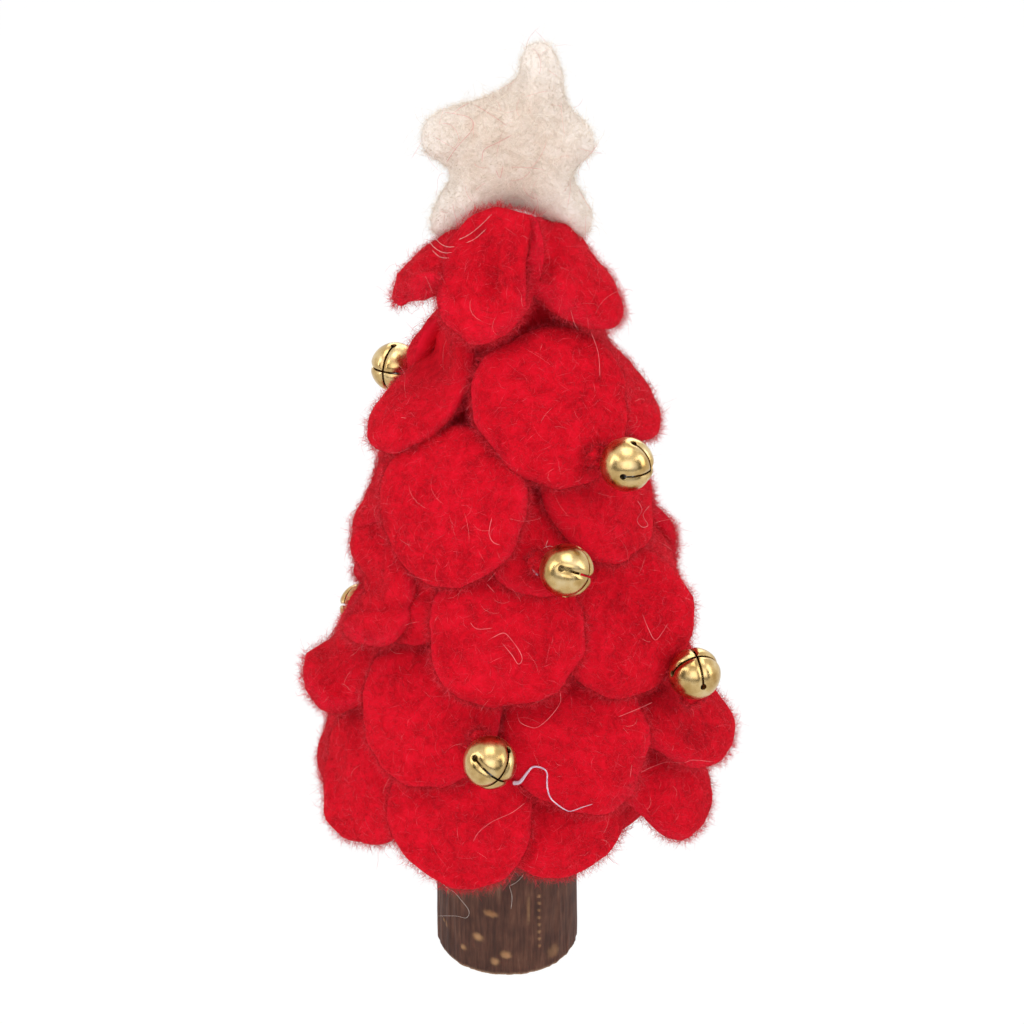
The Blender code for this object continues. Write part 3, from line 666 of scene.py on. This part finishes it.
# The way the crossed slots face, and the way one slot runs
bellTurns = {
    "bell_1": ((-0.49, -0.865, 0.09), (0.2, 0.3, 0.95)),
    "bell_2": ((0.905, -0.416, -0.068), (0.02, -0.12, 0.98)),
    "bell_3": ((0.85, -0.52, -0.015), (-0.27, -0.83, 0.48)),
    "bell_4": ((-0.8, -0.5, 0.3), (0.0, 0.4, 0.9)),
    "bell_5": ((0.04, -0.347, 0.935), (0.28, -0.9, -0.3)),
    "bell_6": ((0.33, -0.909, -0.25), (-0.6, -0.55, 0.57)),
    "bell_7": ((0.1, 0.97, -0.2), (0.6, 0.1, 0.8)),
}


def brassMaterial():  # yellow brass, barrel-polished: bright, faintly uneven, browner in patches
    material, tree, shader, place = startMaterial("yellow brass sheet, pressed and barrel-polished")
    tarnish = addNode(tree, "ShaderNodeTexNoise", inputs={
        "Vector": place, "Scale": perMm(2.6), "Detail": 4.0,
    }).outputs["Fac"]
    colour = addNode(tree, "ShaderNodeValToRGB", inputs={"Fac": tarnish},
                     stops=[(0.3, "#A8864E"), (0.55, "#CDAF78"), (0.8, "#E2CDA0")])
    rough = addNode(tree, "ShaderNodeMapRange", inputs={
        "Value": tarnish, "From Min": 0.3, "From Max": 0.7, "To Min": 0.2, "To Max": 0.32,
    })
    dents = addNode(tree, "ShaderNodeTexNoise", inputs={
        "Vector": place, "Scale": perMm(3.0), "Detail": 1.0,
    })
    bump = addNode(tree, "ShaderNodeBump", inputs={
        "Height": dents.outputs["Fac"], "Strength": 0.3, "Distance": 0.1 * mm,
    })
    setInputs(tree, shader, {
        "Base Color": colour.outputs["Color"], "Normal": bump.outputs["Normal"], "Metallic": 1.0,
        "Roughness": rough.outputs["Result"],
    })
    return material


def steelMaterial():  # a tumbled steel pellet, dull and faintly scratched
    material, tree, shader, place = startMaterial("steel pellet, tumbled")
    marks = addNode(tree, "ShaderNodeTexNoise", inputs={
        "Vector": place, "Scale": perMm(0.8), "Detail": 5.0,
    })
    colour = addNode(tree, "ShaderNodeValToRGB", inputs={"Fac": marks.outputs["Fac"]},
                     stops=[(0.3, "#8E8C88"), (0.7, "#C4C3C0")])
    setInputs(tree, shader, {"Base Color": colour.outputs["Color"], "Metallic": 1.0, "Roughness": 0.38})
    return material


def bellBall(radius):  # one face of the shell; near the slots the leaves roll in
    bm = bmesh.new()
    bmesh.ops.create_uvsphere(bm, u_segments=bell["sides"], v_segments=bell["rings"], radius=radius)
    for vert in bm.verts:
        across = min(abs(vert.co.x), abs(vert.co.y))
        polar = math.acos(max(-1.0, min(1.0, -vert.co.z / radius)))
        past = max(0.0, polar - bell["slotEnd"]) * radius
        fade = math.exp(-((across / mm / bell["rollReach"]) ** 2) - (past / mm / bell["rollReach"]) ** 2)
        vert.co *= 1 - bell["rollDepth"] * mm * fade / radius
    return bm


def cutterBlock(size, place):
    bm = bmesh.new()
    bmesh.ops.create_cube(bm, size=1, matrix=Matrix.Translation(place) @ Matrix.Diagonal((*size, 1)))
    return bm


def cutterPunch(turn):
    bm = bmesh.new()
    reach = (bell["radius"] - bell["wall"] / 2) * mm
    bmesh.ops.create_cone(bm, cap_ends=True, segments=bell["holeSides"], radius1=bell["holeRadius"] * mm,
                          radius2=bell["holeRadius"] * mm, depth=2 * bell["overrun"] * mm,
                          matrix=Matrix.Rotation(turn, 4, 'Z')
                          @ Matrix.Rotation(math.pi - bell["slotEnd"], 4, 'Y')
                          @ Matrix.Translation((0, 0, reach)))
    return bm


def eyeRing():  # a wire ring, sunk a little into the top of the ball
    bm = bmesh.new()
    wire = bell["eyeWire"] * mm
    ring = bmesh.ops.create_circle(bm, segments=12, radius=wire)["verts"]
    edges = list({edge for vert in ring for edge in vert.link_edges})
    bmesh.ops.transform(bm, verts=ring, matrix=Matrix.Translation((bell["eyeRadius"] * mm, 0, 0))
                        @ Matrix.Rotation(math.pi / 2, 4, 'X'))
    bmesh.ops.spin(bm, geom=ring + edges, cent=(0, 0, 0), axis=(0, 0, 1), angle=math.tau, steps=32,
                   use_merge=True)
    bmesh.ops.remove_doubles(bm, verts=bm.verts[:], dist=0.01 * mm)
    centre = (bell["radius"] + bell["eyeRadius"] + bell["eyeWire"] - bell["eyeSink"]) * mm
    bmesh.ops.transform(bm, verts=bm.verts[:], matrix=Matrix.Translation((0, 0, centre))
                        @ Matrix.Rotation(math.pi / 2, 4, 'X'))
    bmesh.ops.recalc_face_normals(bm, faces=bm.faces[:])
    return bm


def bellShell():
    bm = bellBall(bell["radius"] * mm)
    inside = bellBall((bell["radius"] - bell["wall"]) * mm)
    bmesh.ops.reverse_faces(inside, faces=inside.faces[:])
    bm.from_mesh(meshOf(inside, "inside"))
    low = -(bell["radius"] + bell["overrun"]) * mm
    high = -bell["radius"] * math.cos(bell["slotEnd"]) * mm
    reach = 2 * bell["radius"] * math.sin(bell["slotEnd"]) * mm
    width = bell["slotWidth"] * mm
    middle = (0, 0, (low + high) / 2)
    cutters = [cutterBlock((*across, high - low), middle) for across in ((reach, width), (width, reach))]
    cutters += [cutterPunch(math.tau * quarter / 4) for quarter in range(4)]

    def addThem(holder):
        helpers = []
        for shape, operation in [(cutter, 'DIFFERENCE') for cutter in cutters] + [(eyeRing(), 'UNION')]:
            helpers.append(addObject("cutter", meshOf(shape, "cutter")))
            cut = holder.modifiers.new("cut", 'BOOLEAN')
            cut.operation = operation
            cut.solver = 'EXACT'
            cut.object = helpers[-1]
        ease = holder.modifiers.new("ease", 'BEVEL')
        ease.width = bell["edge"] * mm
        ease.segments = 2
        ease.limit_method = 'ANGLE'
        ease.angle_limit = math.radians(50)
        return helpers
    cut = bmesh.new()
    cut.from_mesh(withModifiers(meshOf(bm, "bell_shell"), addThem))
    shell = meshOf(inOrder(cut), "bell_shell")
    shell.set_sharp_from_angle(angle=math.radians(42))
    return shell


def bellTurn(faces, slot):
    down = -Vector(faces).normalized()
    along = Vector(slot)
    along = (along - down * along.dot(down)).normalized()
    return Matrix((along, down.cross(along), down)).transposed().to_4x4()


# Wool drawn over each bell's eye and glued down there; a lump is its size and depth
eyeTuft = {"radius": 1.9, "lumps": ((1.6, 0.8),), "hiddenShare": 0.5}


def roundMesh(name, radius, middle):
    bm = bmesh.new()
    bmesh.ops.create_icosphere(bm, subdivisions=4, radius=radius * mm, matrix=Matrix.Translation(middle))
    return meshOf(bm, name)


def makeEyeTuft(name, eye, seed):
    pad = roundMesh(name + "_tuft", eyeTuft["radius"], eye)
    swell(pad, eyeTuft["lumps"])
    addPiece(name + "_tuft", pad, redFeltMaterial)
    feltNap(name + "_tuft_nap", pad, tuftFibres, redFibreMaterial, seed,
            {**fibreCover, "hiddenShare": eyeTuft["hiddenShare"]})


def makeBells():
    brass = brassMaterial()
    steel = steelMaterial()
    shell = bellShell()
    for number, (name, (faces, slot)) in enumerate(bellTurns.items()):
        low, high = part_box(name + "_pellet")
        pelletPlace = (low + high) / 2
        place = pelletPlace + Vector((0, 0, bell["pelletDrop"] * mm))
        ball = shell.copy()
        ball.transform(Matrix.Translation(place) @ bellTurn(faces, slot))
        addPiece(name + "_ball", ball, brass, node=name + "_shell")
        addPiece(name + "_shot", roundMesh(name + "_shot", bell["pelletRadius"], pelletPlace), steel,
                 body=name + "_loose_pellet", node=name + "_pellet")
        eyeReach = bell["radius"] + bell["eyeRadius"]
        makeEyeTuft(name, place - Vector(faces).normalized() * eyeReach * mm, 400 + number)
    return len(shell.polygons)


print("bells:", len(bellTurns), "of", makeBells(), "faces")


# Trunk: a cut branch with its bark on, in upright ridges, with corky spots that stand out and ends
# that are worn round; a ridge is its width, length and depth
branch = {
    "sides": 300, "levels": 130, "rim": 0.45, "inset": 0.2, "worn": 0.35,
    "ridges": ((1.5, 12.0, 0.26), (0.7, 7.0, 0.13), (4.5, 30.0, 0.3)),
    "corkHeight": 0.22, "corkGrain": 0.7, "corkRagged": 0.5, "cameraFar": 440,
}
# Corky spots that the photograph shows, then a dusty line and a scuff: middle pixel, half width and
# half height in pixels, and share
corkSpots = (
    ((490.7, 914.3), 6.5, 3.5, 1.0), ((477.5, 938), 5, 4, 1.0), ((463.6, 947), 3, 3, 0.9),
    ((505.7, 953.6), 5, 4, 1.0), ((495, 961.4), 4, 4, 0.9), ((447, 891), 3, 3, 0.7),
    ((443.6, 920), 2, 2, 0.8), ((446.4, 924), 2, 3, 0.8), ((528.6, 910), 1.3, 15, 0.5),
    ((553.6, 951.4), 7, 7, 0.4),
) + tuple(((539.6, 897 + 7 * number), 1.5, 1.5, 0.8) for number in range(8))
backSpots = {"count": 16, "span": (0.1, 0.9), "width": (0.4, 1.2), "height": (0.3, 0.7), "share": 0.9}


def corkPlaces(top):  # angle, height, half width and half height in metres, and share
    rng = random.Random(12)
    trunkTree = treeOf([nodeMesh("trunk")])
    pixelSize = branch["cameraFar"] * mm / photoFocal
    places = []
    for pixel, halfWide, halfHigh, share in corkSpots:
        hit = trunkTree.ray_cast(*photoRay(pixel))[0]
        places.append((math.atan2(hit.y, hit.x), hit.z, halfWide * pixelSize, halfHigh * pixelSize, share))
    for _ in range(backSpots["count"]):
        places.append((rng.uniform(*backSpots["span"]) * math.pi, rng.uniform(*backSpots["span"]) * top,
                       rng.uniform(*backSpots["width"]) * mm, rng.uniform(*backSpots["height"]) * mm,
                       backSpots["share"]))
    return places


def barkMaterial():
    # Thin young bark, dried: matt grey-brown in fine upright streaks, tan cork at the spots and a
    # paler cut edge
    material, tree, shader, place = startMaterial("young bark, dried and brushed clean")
    stretch = addNode(tree, "ShaderNodeMapping", inputs={"Vector": place, "Scale": (1, 1, 0.09)})
    streaks = addNode(tree, "ShaderNodeTexNoise", inputs={
        "Vector": stretch.outputs["Vector"], "Scale": perMm(0.8), "Detail": 6.0, "Roughness": 0.65,
    })
    patches = addNode(tree, "ShaderNodeTexNoise", inputs={
        "Vector": place, "Scale": perMm(5.0), "Detail": 3.0,
    })
    mixed = addNode(tree, "ShaderNodeMix", {"data_type": 'FLOAT'}, {
        0: 0.35, 2: streaks.outputs["Fac"], 3: patches.outputs["Fac"],
    })
    colour = addNode(tree, "ShaderNodeValToRGB", inputs={"Fac": mixed.outputs[0]}, stops=[
        (0.3, "#2A1914"), (0.45, "#452B22"), (0.58, "#5A3B2E"), (0.75, "#7A5A49"),
    ])
    corkColour = addNode(tree, "ShaderNodeValToRGB", inputs={"Fac": patches.outputs["Fac"]},
                         stops=[(0.3, "#86603F"), (0.7, "#B08A62")])
    cork = addNode(tree, "ShaderNodeAttribute", {"attribute_name": "cork"})
    spotted = addNode(tree, "ShaderNodeMix", {"data_type": 'RGBA'}, {
        0: cork.outputs["Fac"], 6: colour.outputs["Color"], 7: corkColour.outputs["Color"],
    })
    cutEdge = addNode(tree, "ShaderNodeAttribute", {"attribute_name": "cutEdge"})
    edged = addNode(tree, "ShaderNodeMix", {"data_type": 'RGBA'}, {
        0: cutEdge.outputs["Fac"], 6: spotted.outputs[2], 7: linearColour("#A98A6E"),
    })
    bump = addNode(tree, "ShaderNodeBump", inputs={
        "Height": streaks.outputs["Fac"], "Strength": 0.8, "Distance": 0.2 * mm,
    })
    setInputs(tree, shader, {
        "Base Color": edged.outputs[2], "Normal": bump.outputs["Normal"], "Roughness": 0.78,
        "Specular IOR Level": 0.3,
    })
    return material


def sawnMaterial():  # end grain as the saw left it: growth rings about 1.3 mm apart round a small pith
    material, tree, shader, place = startMaterial("sawn end grain")
    flat = addNode(tree, "ShaderNodeMapping", inputs={"Vector": place, "Scale": (1, 1, 0)})
    rings = addNode(tree, "ShaderNodeTexWave", {"wave_type": 'RINGS', "rings_direction": 'Z'}, {
        "Vector": flat.outputs["Vector"], "Scale": perMm(1.3) / 6.3, "Distortion": 1.2, "Detail": 3.0,
        "Detail Scale": 2.0,
    })
    colour = addNode(tree, "ShaderNodeValToRGB", inputs={"Fac": rings.outputs["Fac"]},
                     stops=[(0.2, "#B08A62"), (0.6, "#CFAE84"), (0.95, "#DCC29C")])
    sawMarks = addNode(tree, "ShaderNodeTexNoise", inputs={
        "Vector": place, "Scale": perMm(0.6), "Detail": 4.0,
    })
    bump = addNode(tree, "ShaderNodeBump", inputs={
        "Height": sawMarks.outputs["Fac"], "Strength": 0.5, "Distance": 0.1 * mm,
    })
    setInputs(tree, shader, {
        "Base Color": colour.outputs["Color"], "Normal": bump.outputs["Normal"], "Roughness": 0.85,
    })
    return material


def makeTrunk():
    low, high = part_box("trunk")
    radius = (high.x - low.x + high.y - low.y) / 4 - branch["inset"] * mm
    top = high.z - low.z
    bm = bmesh.new()
    bmesh.ops.create_cone(bm, cap_ends=True, segments=branch["sides"], radius1=radius, radius2=radius,
                          depth=top, matrix=Matrix.Translation((0, 0, low.z + top / 2)))
    upright = [edge for edge in bm.edges if abs(edge.verts[0].co.z - edge.verts[1].co.z) > top / 2]
    bmesh.ops.subdivide_edges(bm, edges=upright, cuts=branch["levels"])
    ends = [face for face in bm.faces if len(face.verts) > 4]
    for rimWidth in (branch["rim"] * mm, radius / 2):
        bmesh.ops.inset_region(bm, faces=ends, thickness=rimWidth)
    for face in ends:
        face.material_index = 1
    spots = corkPlaces(top)
    corkLayer = bm.verts.layers.float.new("cork")
    edgeLayer = bm.verts.layers.float.new("cutEdge")
    for vert in bm.verts:
        out = Vector((vert.co.x, vert.co.y, 0))
        if out.length < radius - 0.05 * mm:
            continue
        angle = math.atan2(vert.co.y, vert.co.x)
        relief = 0.0
        for across, along, depth in branch["ridges"]:
            point = Vector((vert.co.x / across, vert.co.y / across, vert.co.z / along)) / mm
            relief += depth * noise.noise(point)
        cork = 0.0
        for spotAngle, height, halfWide, halfHigh, share in spots:
            sweep = (angle - spotAngle + math.pi) % math.tau - math.pi
            far = (sweep * radius / halfWide) ** 2 + ((vert.co.z - low.z - height) / halfHigh) ** 2
            far *= 1 + branch["corkRagged"] * noise.noise(vert.co / (branch["corkGrain"] * mm))
            cork = max(cork, math.exp(-far * far) * share)
        edge = min(vert.co.z - low.z, high.z - vert.co.z)
        vert[corkLayer] = cork
        vert[edgeLayer] = math.exp(-(edge / (branch["rim"] * mm)) ** 2)
        relief += branch["corkHeight"] * cork - branch["worn"] * vert[edgeLayer]
        vert.co += out.normalized() * relief * mm
    bm.normal_update()
    mesh = meshOf(bm, "trunk_branch")
    mesh.materials.append(barkMaterial())
    mesh.materials.append(sawnMaterial())
    mesh.set_sharp_from_angle(angle=math.radians(50))
    addPiece("trunk_branch", mesh, None, node="trunk")
    return len(spots)


print("trunk with", makeTrunk(), "cork spots")


# Long stray fibres: curly single hairs that wander over the felt and off it again; in millimetres,
# but curl and wander are in radians, and turnShare, arch and pull are shares
strayHair = {
    "step": 0.8, "lift": (0.2, 1.8), "root": 0.15, "curl": 0.35, "wander": 0.12, "turnShare": 0.4,
    "arch": 0.75, "pull": 0.7, "startsEach": 300,
}
strayLook = {
    "red": {"length": (5.0, 15.0), "width": (0.035, 0.06)},
    "cream": {"length": (5.0, 13.0), "width": (0.035, 0.05)},
}


def strayPath(tree, start, normal, look, rng):
    length = rng.uniform(*look["length"]) * mm
    step = strayHair["step"] * mm
    lift = rng.uniform(*strayHair["lift"]) * mm
    heading = Vector((rng.gauss(0, 1), rng.gauss(0, 1), rng.gauss(0, 1)))
    heading = (heading - normal * heading.dot(normal)).normalized()
    turn = rng.gauss(0, strayHair["curl"])
    place = start.copy()
    path = [place.copy()]
    count = max(4, int(length / step))
    for number in range(count):
        share = (number + 1) / count
        near, normal = tree.find_nearest(place)[:2]
        turn += rng.gauss(0, strayHair["wander"])
        heading = Matrix.Rotation(turn * strayHair["turnShare"], 3, normal) @ heading
        height = (place - near).length
        aim = lift * math.sin(math.pi * share * strayHair["arch"]) + strayHair["root"] * mm
        heading -= normal * heading.dot(normal)
        heading = (heading + normal * (aim - height) / step * strayHair["pull"]).normalized()
        place = place + heading * step
        path.append(place.copy())
    return path


def hairTube(path, widths, bm, sides=3):  # a tube with pointed ends
    rings = []
    side = Vector((0.3, 0.5, 0.8))
    for number, place in enumerate(path):
        ahead = (path[min(number + 1, len(path) - 1)] - path[max(number - 1, 0)]).normalized()
        side = (side - ahead * side.dot(ahead)).normalized()
        up = ahead.cross(side)
        if number in (0, len(path) - 1):
            rings.append([bm.verts.new(place)])
            continue
        rings.append([bm.verts.new(place + (side * math.cos(math.tau * corner / sides)
                                            + up * math.sin(math.tau * corner / sides)) * widths[number] / 2)
                      for corner in range(sides)])
    for back, front in zip(rings, rings[1:]):
        for corner in range(sides):
            nxt = (corner + 1) % sides
            if len(back) == 1:
                bm.faces.new((back[0], front[nxt], front[corner]))
            elif len(front) == 1:
                bm.faces.new((back[corner], back[nxt], front[0]))
            else:
                bm.faces.new((back[corner], back[nxt], front[nxt], front[corner]))


def strays(name, meshes, count, look, material, seed):
    rng = random.Random(seed)
    bm = bmesh.new()
    for number in range(count):
        mesh = meshes[number % len(meshes)]
        corners, normals, areas = strayFaces[mesh.name]
        chosen = rng.choices(range(len(areas)), weights=areas)[0]
        start = Vector(corners[chosen].mean(axis=0))
        path = strayPath(strayTree, start, Vector(normals[chosen]), look, rng)
        hairTube(path, [rng.uniform(*look["width"]) * mm] * len(path), bm)
    addPiece(name, meshOf(bm, name), material)


strayTree = treeOf(map(nodeMesh, feltNodes + ["star", "trunk"]))
strayFaces = {}
for mesh in list(feltMeshes.values()) + [starMesh]:
    meshCorners, meshNormals, meshAreas = trianglesOf(mesh)
    picked = np.random.default_rng(4).choice(len(meshAreas), strayHair["startsEach"],
                                             p=meshAreas / meshAreas.sum())
    shares = openShares(meshCorners[picked], meshNormals[picked], fibreCover)
    strayFaces[mesh.name] = (meshCorners[picked], meshNormals[picked], shares)


def hairMaterial(name, colour):  # one long loose hair of wool: pale, smooth and slightly shiny
    material, tree, shader, place = startMaterial(name)
    shade = addNode(tree, "ShaderNodeTexNoise", inputs={"Vector": place, "Scale": perMm(3.0)})
    toned = addNode(tree, "ShaderNodeValToRGB", inputs={"Fac": shade.outputs["Fac"]},
                    stops=[(0.3, colour[0]), (0.7, colour[1])])
    setInputs(tree, shader, {
        "Base Color": toned.outputs["Color"], "Roughness": 0.5, "Specular IOR Level": 0.4,
    })
    return material


pinkHair = hairMaterial("long wool hairs, faded red", ("#C82438", "#F08A8C"))
creamHair = hairMaterial("long wool hairs, undyed", ("#EADCD0", "#FAF2EC"))
redHair = hairMaterial("long wool hairs, dyed", ("#C86060", "#DC9C98"))
for row in range(1, 7):
    rowMeshes = [feltMeshes[node] for node in feltNodes if node.startswith(f"petal_row{row}_")]
    strays(f"stray_hairs_row{row}", rowMeshes, 3 * len(rowMeshes), strayLook["red"], pinkHair,
           seed=200 + row)
strays("stray_hairs_star", [starMesh], 36, strayLook["cream"], creamHair, seed=300)
strays("stray_red_hairs_star", [starMesh], 9, strayLook["cream"], redHair, seed=301)
print("stray hairs")


# Hairs that the photograph shows one by one, and the string of glue at the lowest bell. Each has
# the pixels it passes through; the widths run from its start to its end, in millimetres
shownHairs = {
    "pale": ((0.11, 0.1), 0.5, pinkHair, "red_felt", (
        ((517, 712), (520, 722), (530, 727), (538, 727), (550, 717), (560, 703), (560, 692), (557, 682),
         (547, 676), (538, 677), (527, 682), (515, 690)),
        ((473, 842), (478, 833), (490, 823), (500, 818), (513, 812), (526, 802)),
        ((618, 717), (628, 713), (640, 708), (653, 702)),
        ((640, 773), (652, 767), (667, 762), (683, 763), (693, 760), (713, 762)),
        ((632, 764), (630, 778)),
        ((637, 500), (642, 510), (637, 520), (642, 527), (648, 525), (643, 515), (650, 505)),
        ((492, 517), (489, 533), (493, 542), (500, 545)), ((486, 583), (495, 593)), ((497, 571), (487, 582)),
        ((470, 622), (477, 629), (493, 628)),
        ((492, 638), (503, 633), (510, 638), (520, 652), (522, 660), (518, 664), (512, 655), (502, 643)),
        ((642, 613), (648, 628), (655, 640), (662, 633), (668, 623)),
        ((590, 330), (598, 352), (600, 378)), ((590, 460), (602, 456), (612, 458)),
    )),
    "white": ((0.05, 0.04), 0.4, creamHair, "cream_felt", (
        ((428, 240), (436, 249), (446, 253), (456, 251)), ((434, 236), (441, 244), (450, 247), (460, 245)),
        ((432, 250), (440, 257), (450, 258)), ((458, 240), (470, 234), (482, 224), (492, 214)),
        ((466, 243), (476, 238), (487, 228)), ((556, 208), (566, 216), (574, 226), (578, 236)),
        ((436, 876), (447, 888), (454, 892), (461, 900), (469, 911), (466, 918), (456, 916), (437, 916)),
        ((509, 885), (512, 897), (511, 909)), ((509, 886), (517, 882), (524, 874)),
        ((548, 540), (546, 546), (549, 550)), ((543, 548), (550, 546), (556, 549)),
    )),
    "dyed": ((0.07, 0.07), 0.4, redHair, "cream_felt", (
        ((446, 163), (457, 147), (473, 128), (468, 117), (443, 112)),
        ((482, 163), (484, 150), (497, 143), (512, 135)), ((496, 170), (500, 178), (503, 165)),
    )),
    "haze": ((0.4, 1.2, 1.4, 0.9, 0.3), 0.7, glueLook, "hot_glue", (
        ((538, 553), (536, 558), (534, 564), (535, 570), (538, 576)),
    )),
    "string": ((0.9, 0.45, 0.3, 0.28, 0.24, 0.16, 0.12), 0.5, glueLook, "hot_glue", (
        ((513, 783), (520, 782), (527, 773), (533, 767), (542, 768), (547, 773), (547, 785), (550, 797),
         (558, 805), (568, 811), (575, 810), (583, 807), (593, 804)),
    )),
}


shownReach = 3.0  # how far a shown hair goes in front of and behind its middle, in millimetres


def shownPath(tree, pixels, lift):  # a smooth curve through the pixels, laid on what is there
    curve = []
    for number in range(len(pixels) - 1):
        four = [pixels[min(max(number + step, 0), len(pixels) - 1)] for step in (-1, 0, 1, 2)]
        for part in (0, 0.25, 0.5, 0.75):
            curve.append([(2 * b + (c - a) * part + (2 * a - 5 * b + 4 * c - d) * part ** 2
                           + (3 * b - a - 3 * c + d) * part ** 3) / 2 for a, b, c, d in zip(*four)])
    rays = [photoRay(pixel) for pixel in curve + [pixels[-1]]]
    found = np.array([tree.ray_cast(*ray)[3] or math.nan for ray in rays])
    known = np.flatnonzero(~np.isnan(found))
    depths = np.interp(np.arange(len(found)), known, found[known])
    depths = np.median(depths) + np.clip(depths - np.median(depths), -shownReach * mm, shownReach * mm)
    nearest = [depths[max(0, number - 2):number + 3].min() for number in range(len(depths))]
    smooth = [np.mean(nearest[max(0, number - 2):number + 3]) for number in range(len(nearest))]
    return [start + direction * (depth - lift * mm) for (start, direction), depth in zip(rays, smooth)]


def makeShownHairs():
    skin = treeOf(list(feltMeshes.values()) + [starMesh, nodeMesh("trunk")])
    for name, (widths, lift, material, slot, lines) in shownHairs.items():
        bm = bmesh.new()
        for pixels in lines:
            path = shownPath(skin, pixels, lift)
            along = np.linspace(0, len(widths) - 1, len(path))
            hairTube(path, np.interp(along, range(len(widths)), widths) * mm, bm,
                     8 if material is glueLook else 4)
        addPiece("shown_" + name, meshOf(bm, "shown_" + name), material)
    return sum(len(entry[-1]) for entry in shownHairs.values())


print("hairs and a string of glue from the photograph:", makeShownHairs())


# Floor, lights and camera

studio = {
    "floorSize": 6.0, "floorDrop": 0.05, "glow": 0.975, "glowStrength": 1.015, "skyStrength": 0.41,
    "white": "#FFFFFF", "black": "#1A1512",
}


def seenDirectly(tree):  # 1 for camera, glossy and transmission rays
    rays = addNode(tree, "ShaderNodeLightPath").outputs
    seen = rays["Is Camera Ray"]
    for ray in ("Is Glossy Ray", "Is Transmission Ray"):
        either = addNode(tree, "ShaderNodeMath", {"operation": 'MAXIMUM'}, {0: seen, 1: rays[ray]})
        seen = either.outputs["Value"]
    return seen


def makeFloor():
    bm = bmesh.new()
    bmesh.ops.create_grid(bm, x_segments=1, y_segments=1, size=studio["floorSize"] / 2,
                          matrix=Matrix.Translation((0, 0, cadBox[0].z - studio["floorDrop"] * mm)))
    floor = addObject("floor", meshOf(bm, "floor"))
    material, tree, shader, place = startMaterial("white table top")
    white = linearColour(studio["white"])
    setInputs(tree, shader, {"Base Color": white, "Roughness": 0.9, "Specular IOR Level": 0.1})
    glow = addNode(tree, "ShaderNodeEmission", inputs={"Color": white, "Strength": studio["glowStrength"]})
    share = addNode(tree, "ShaderNodeMath", {"operation": 'MULTIPLY'},
                    {0: seenDirectly(tree), 1: studio["glow"]})
    mixed = addNode(tree, "ShaderNodeMixShader", inputs={
        0: share.outputs["Value"], 1: shader.outputs["BSDF"], 2: glow.outputs["Emission"],
    })
    tree.links.new(mixed.outputs["Shader"], tree.nodes["Material Output"].inputs["Surface"])
    floor.data.materials.append(material)


def makeSky():
    world = bpy.data.worlds.new("studio")
    bpy.context.scene.world = world
    world.use_nodes = True
    tree = world.node_tree
    white = linearColour(studio["white"])
    dim = tree.nodes["Background"]
    setInputs(tree, dim, {"Color": white, "Strength": studio["skyStrength"]})
    bright = addNode(tree, "ShaderNodeBackground", inputs={"Color": white, "Strength": 1.0})
    mixed = addNode(tree, "ShaderNodeMixShader", inputs={
        0: seenDirectly(tree), 1: dim.outputs["Background"], 2: bright.outputs["Background"],
    })
    tree.links.new(mixed.outputs["Shader"], tree.nodes["World Output"].inputs["Surface"])


# Softboxes: place, aim, size and power
softboxes = {
    "left": ((-0.75, -0.4, 0.5), (0, 0, 0.09), 0.6, 4.0),
    "right": ((0.75, -0.4, 0.45), (0, 0, 0.09), 0.6, 3.4),
    "front": ((0.0, -0.9, 0.34), (0, 0, 0.1), 0.7, 2.2),
    "top": ((0.0, -0.15, 0.9), (0, 0, 0.1), 0.5, 2.2),
    "back": ((0.1, 0.7, 0.6), (0, 0, 0.1), 0.6, 3.0),
}
# Black cards, seen only in the brass: place, aim, width and height
blackCards = {
    "card_right": ((0.62, -0.5, 0.2), (0, 0, 0.09), 0.3, 0.8),
    "card_left": ((-0.62, -0.42, 0.15), (0, 0, 0.09), 0.35, 0.8),
    "card_low": ((0.0, -0.5, 0.0), (0, 0, 0.3), 1.0, 0.3),
}


def turnTowards(place, aim):
    return (Vector(aim) - Vector(place)).to_track_quat('-Z', 'Y').to_matrix().to_4x4()


def makeLights():
    for name, (place, aim, size, power) in softboxes.items():
        light = bpy.data.lights.new(name, 'AREA')
        light.size = size
        light.energy = power
        addObject(name, light).matrix_world = Matrix.Translation(place) @ turnTowards(place, aim)
    material, tree, shader, place = startMaterial("black card")
    setInputs(tree, shader, {"Base Color": linearColour(studio["black"]), "Roughness": 0.9})
    for name, (place, aim, width, height) in blackCards.items():
        bm = bmesh.new()
        bmesh.ops.create_grid(bm, x_segments=1, y_segments=1, size=0.5, matrix=Matrix.Translation(place)
                              @ turnTowards(place, aim) @ Matrix.Diagonal((width, height, 1, 1)))
        card = addObject(name, meshOf(bm, name))
        card.data.materials.append(material)
        card.visible_camera = False
        card.visible_diffuse = False
        card.visible_shadow = False
        card.visible_transmission = False


def makeCamera():
    data = bpy.data.cameras.new("camera")
    data.lens = photo["lens"]
    data.sensor_width = photo["sensor"]
    data.clip_start = 0.01
    camera = addObject("camera", data)
    camera.location = photo["place"]
    camera.rotation_euler = (photo["tilt"], 0, 0)
    bpy.context.scene.camera = camera


makeFloor()
makeSky()
makeLights()
makeCamera()
bpy.context.scene.view_settings.view_transform = 'Standard'
print("floor, lights and camera")
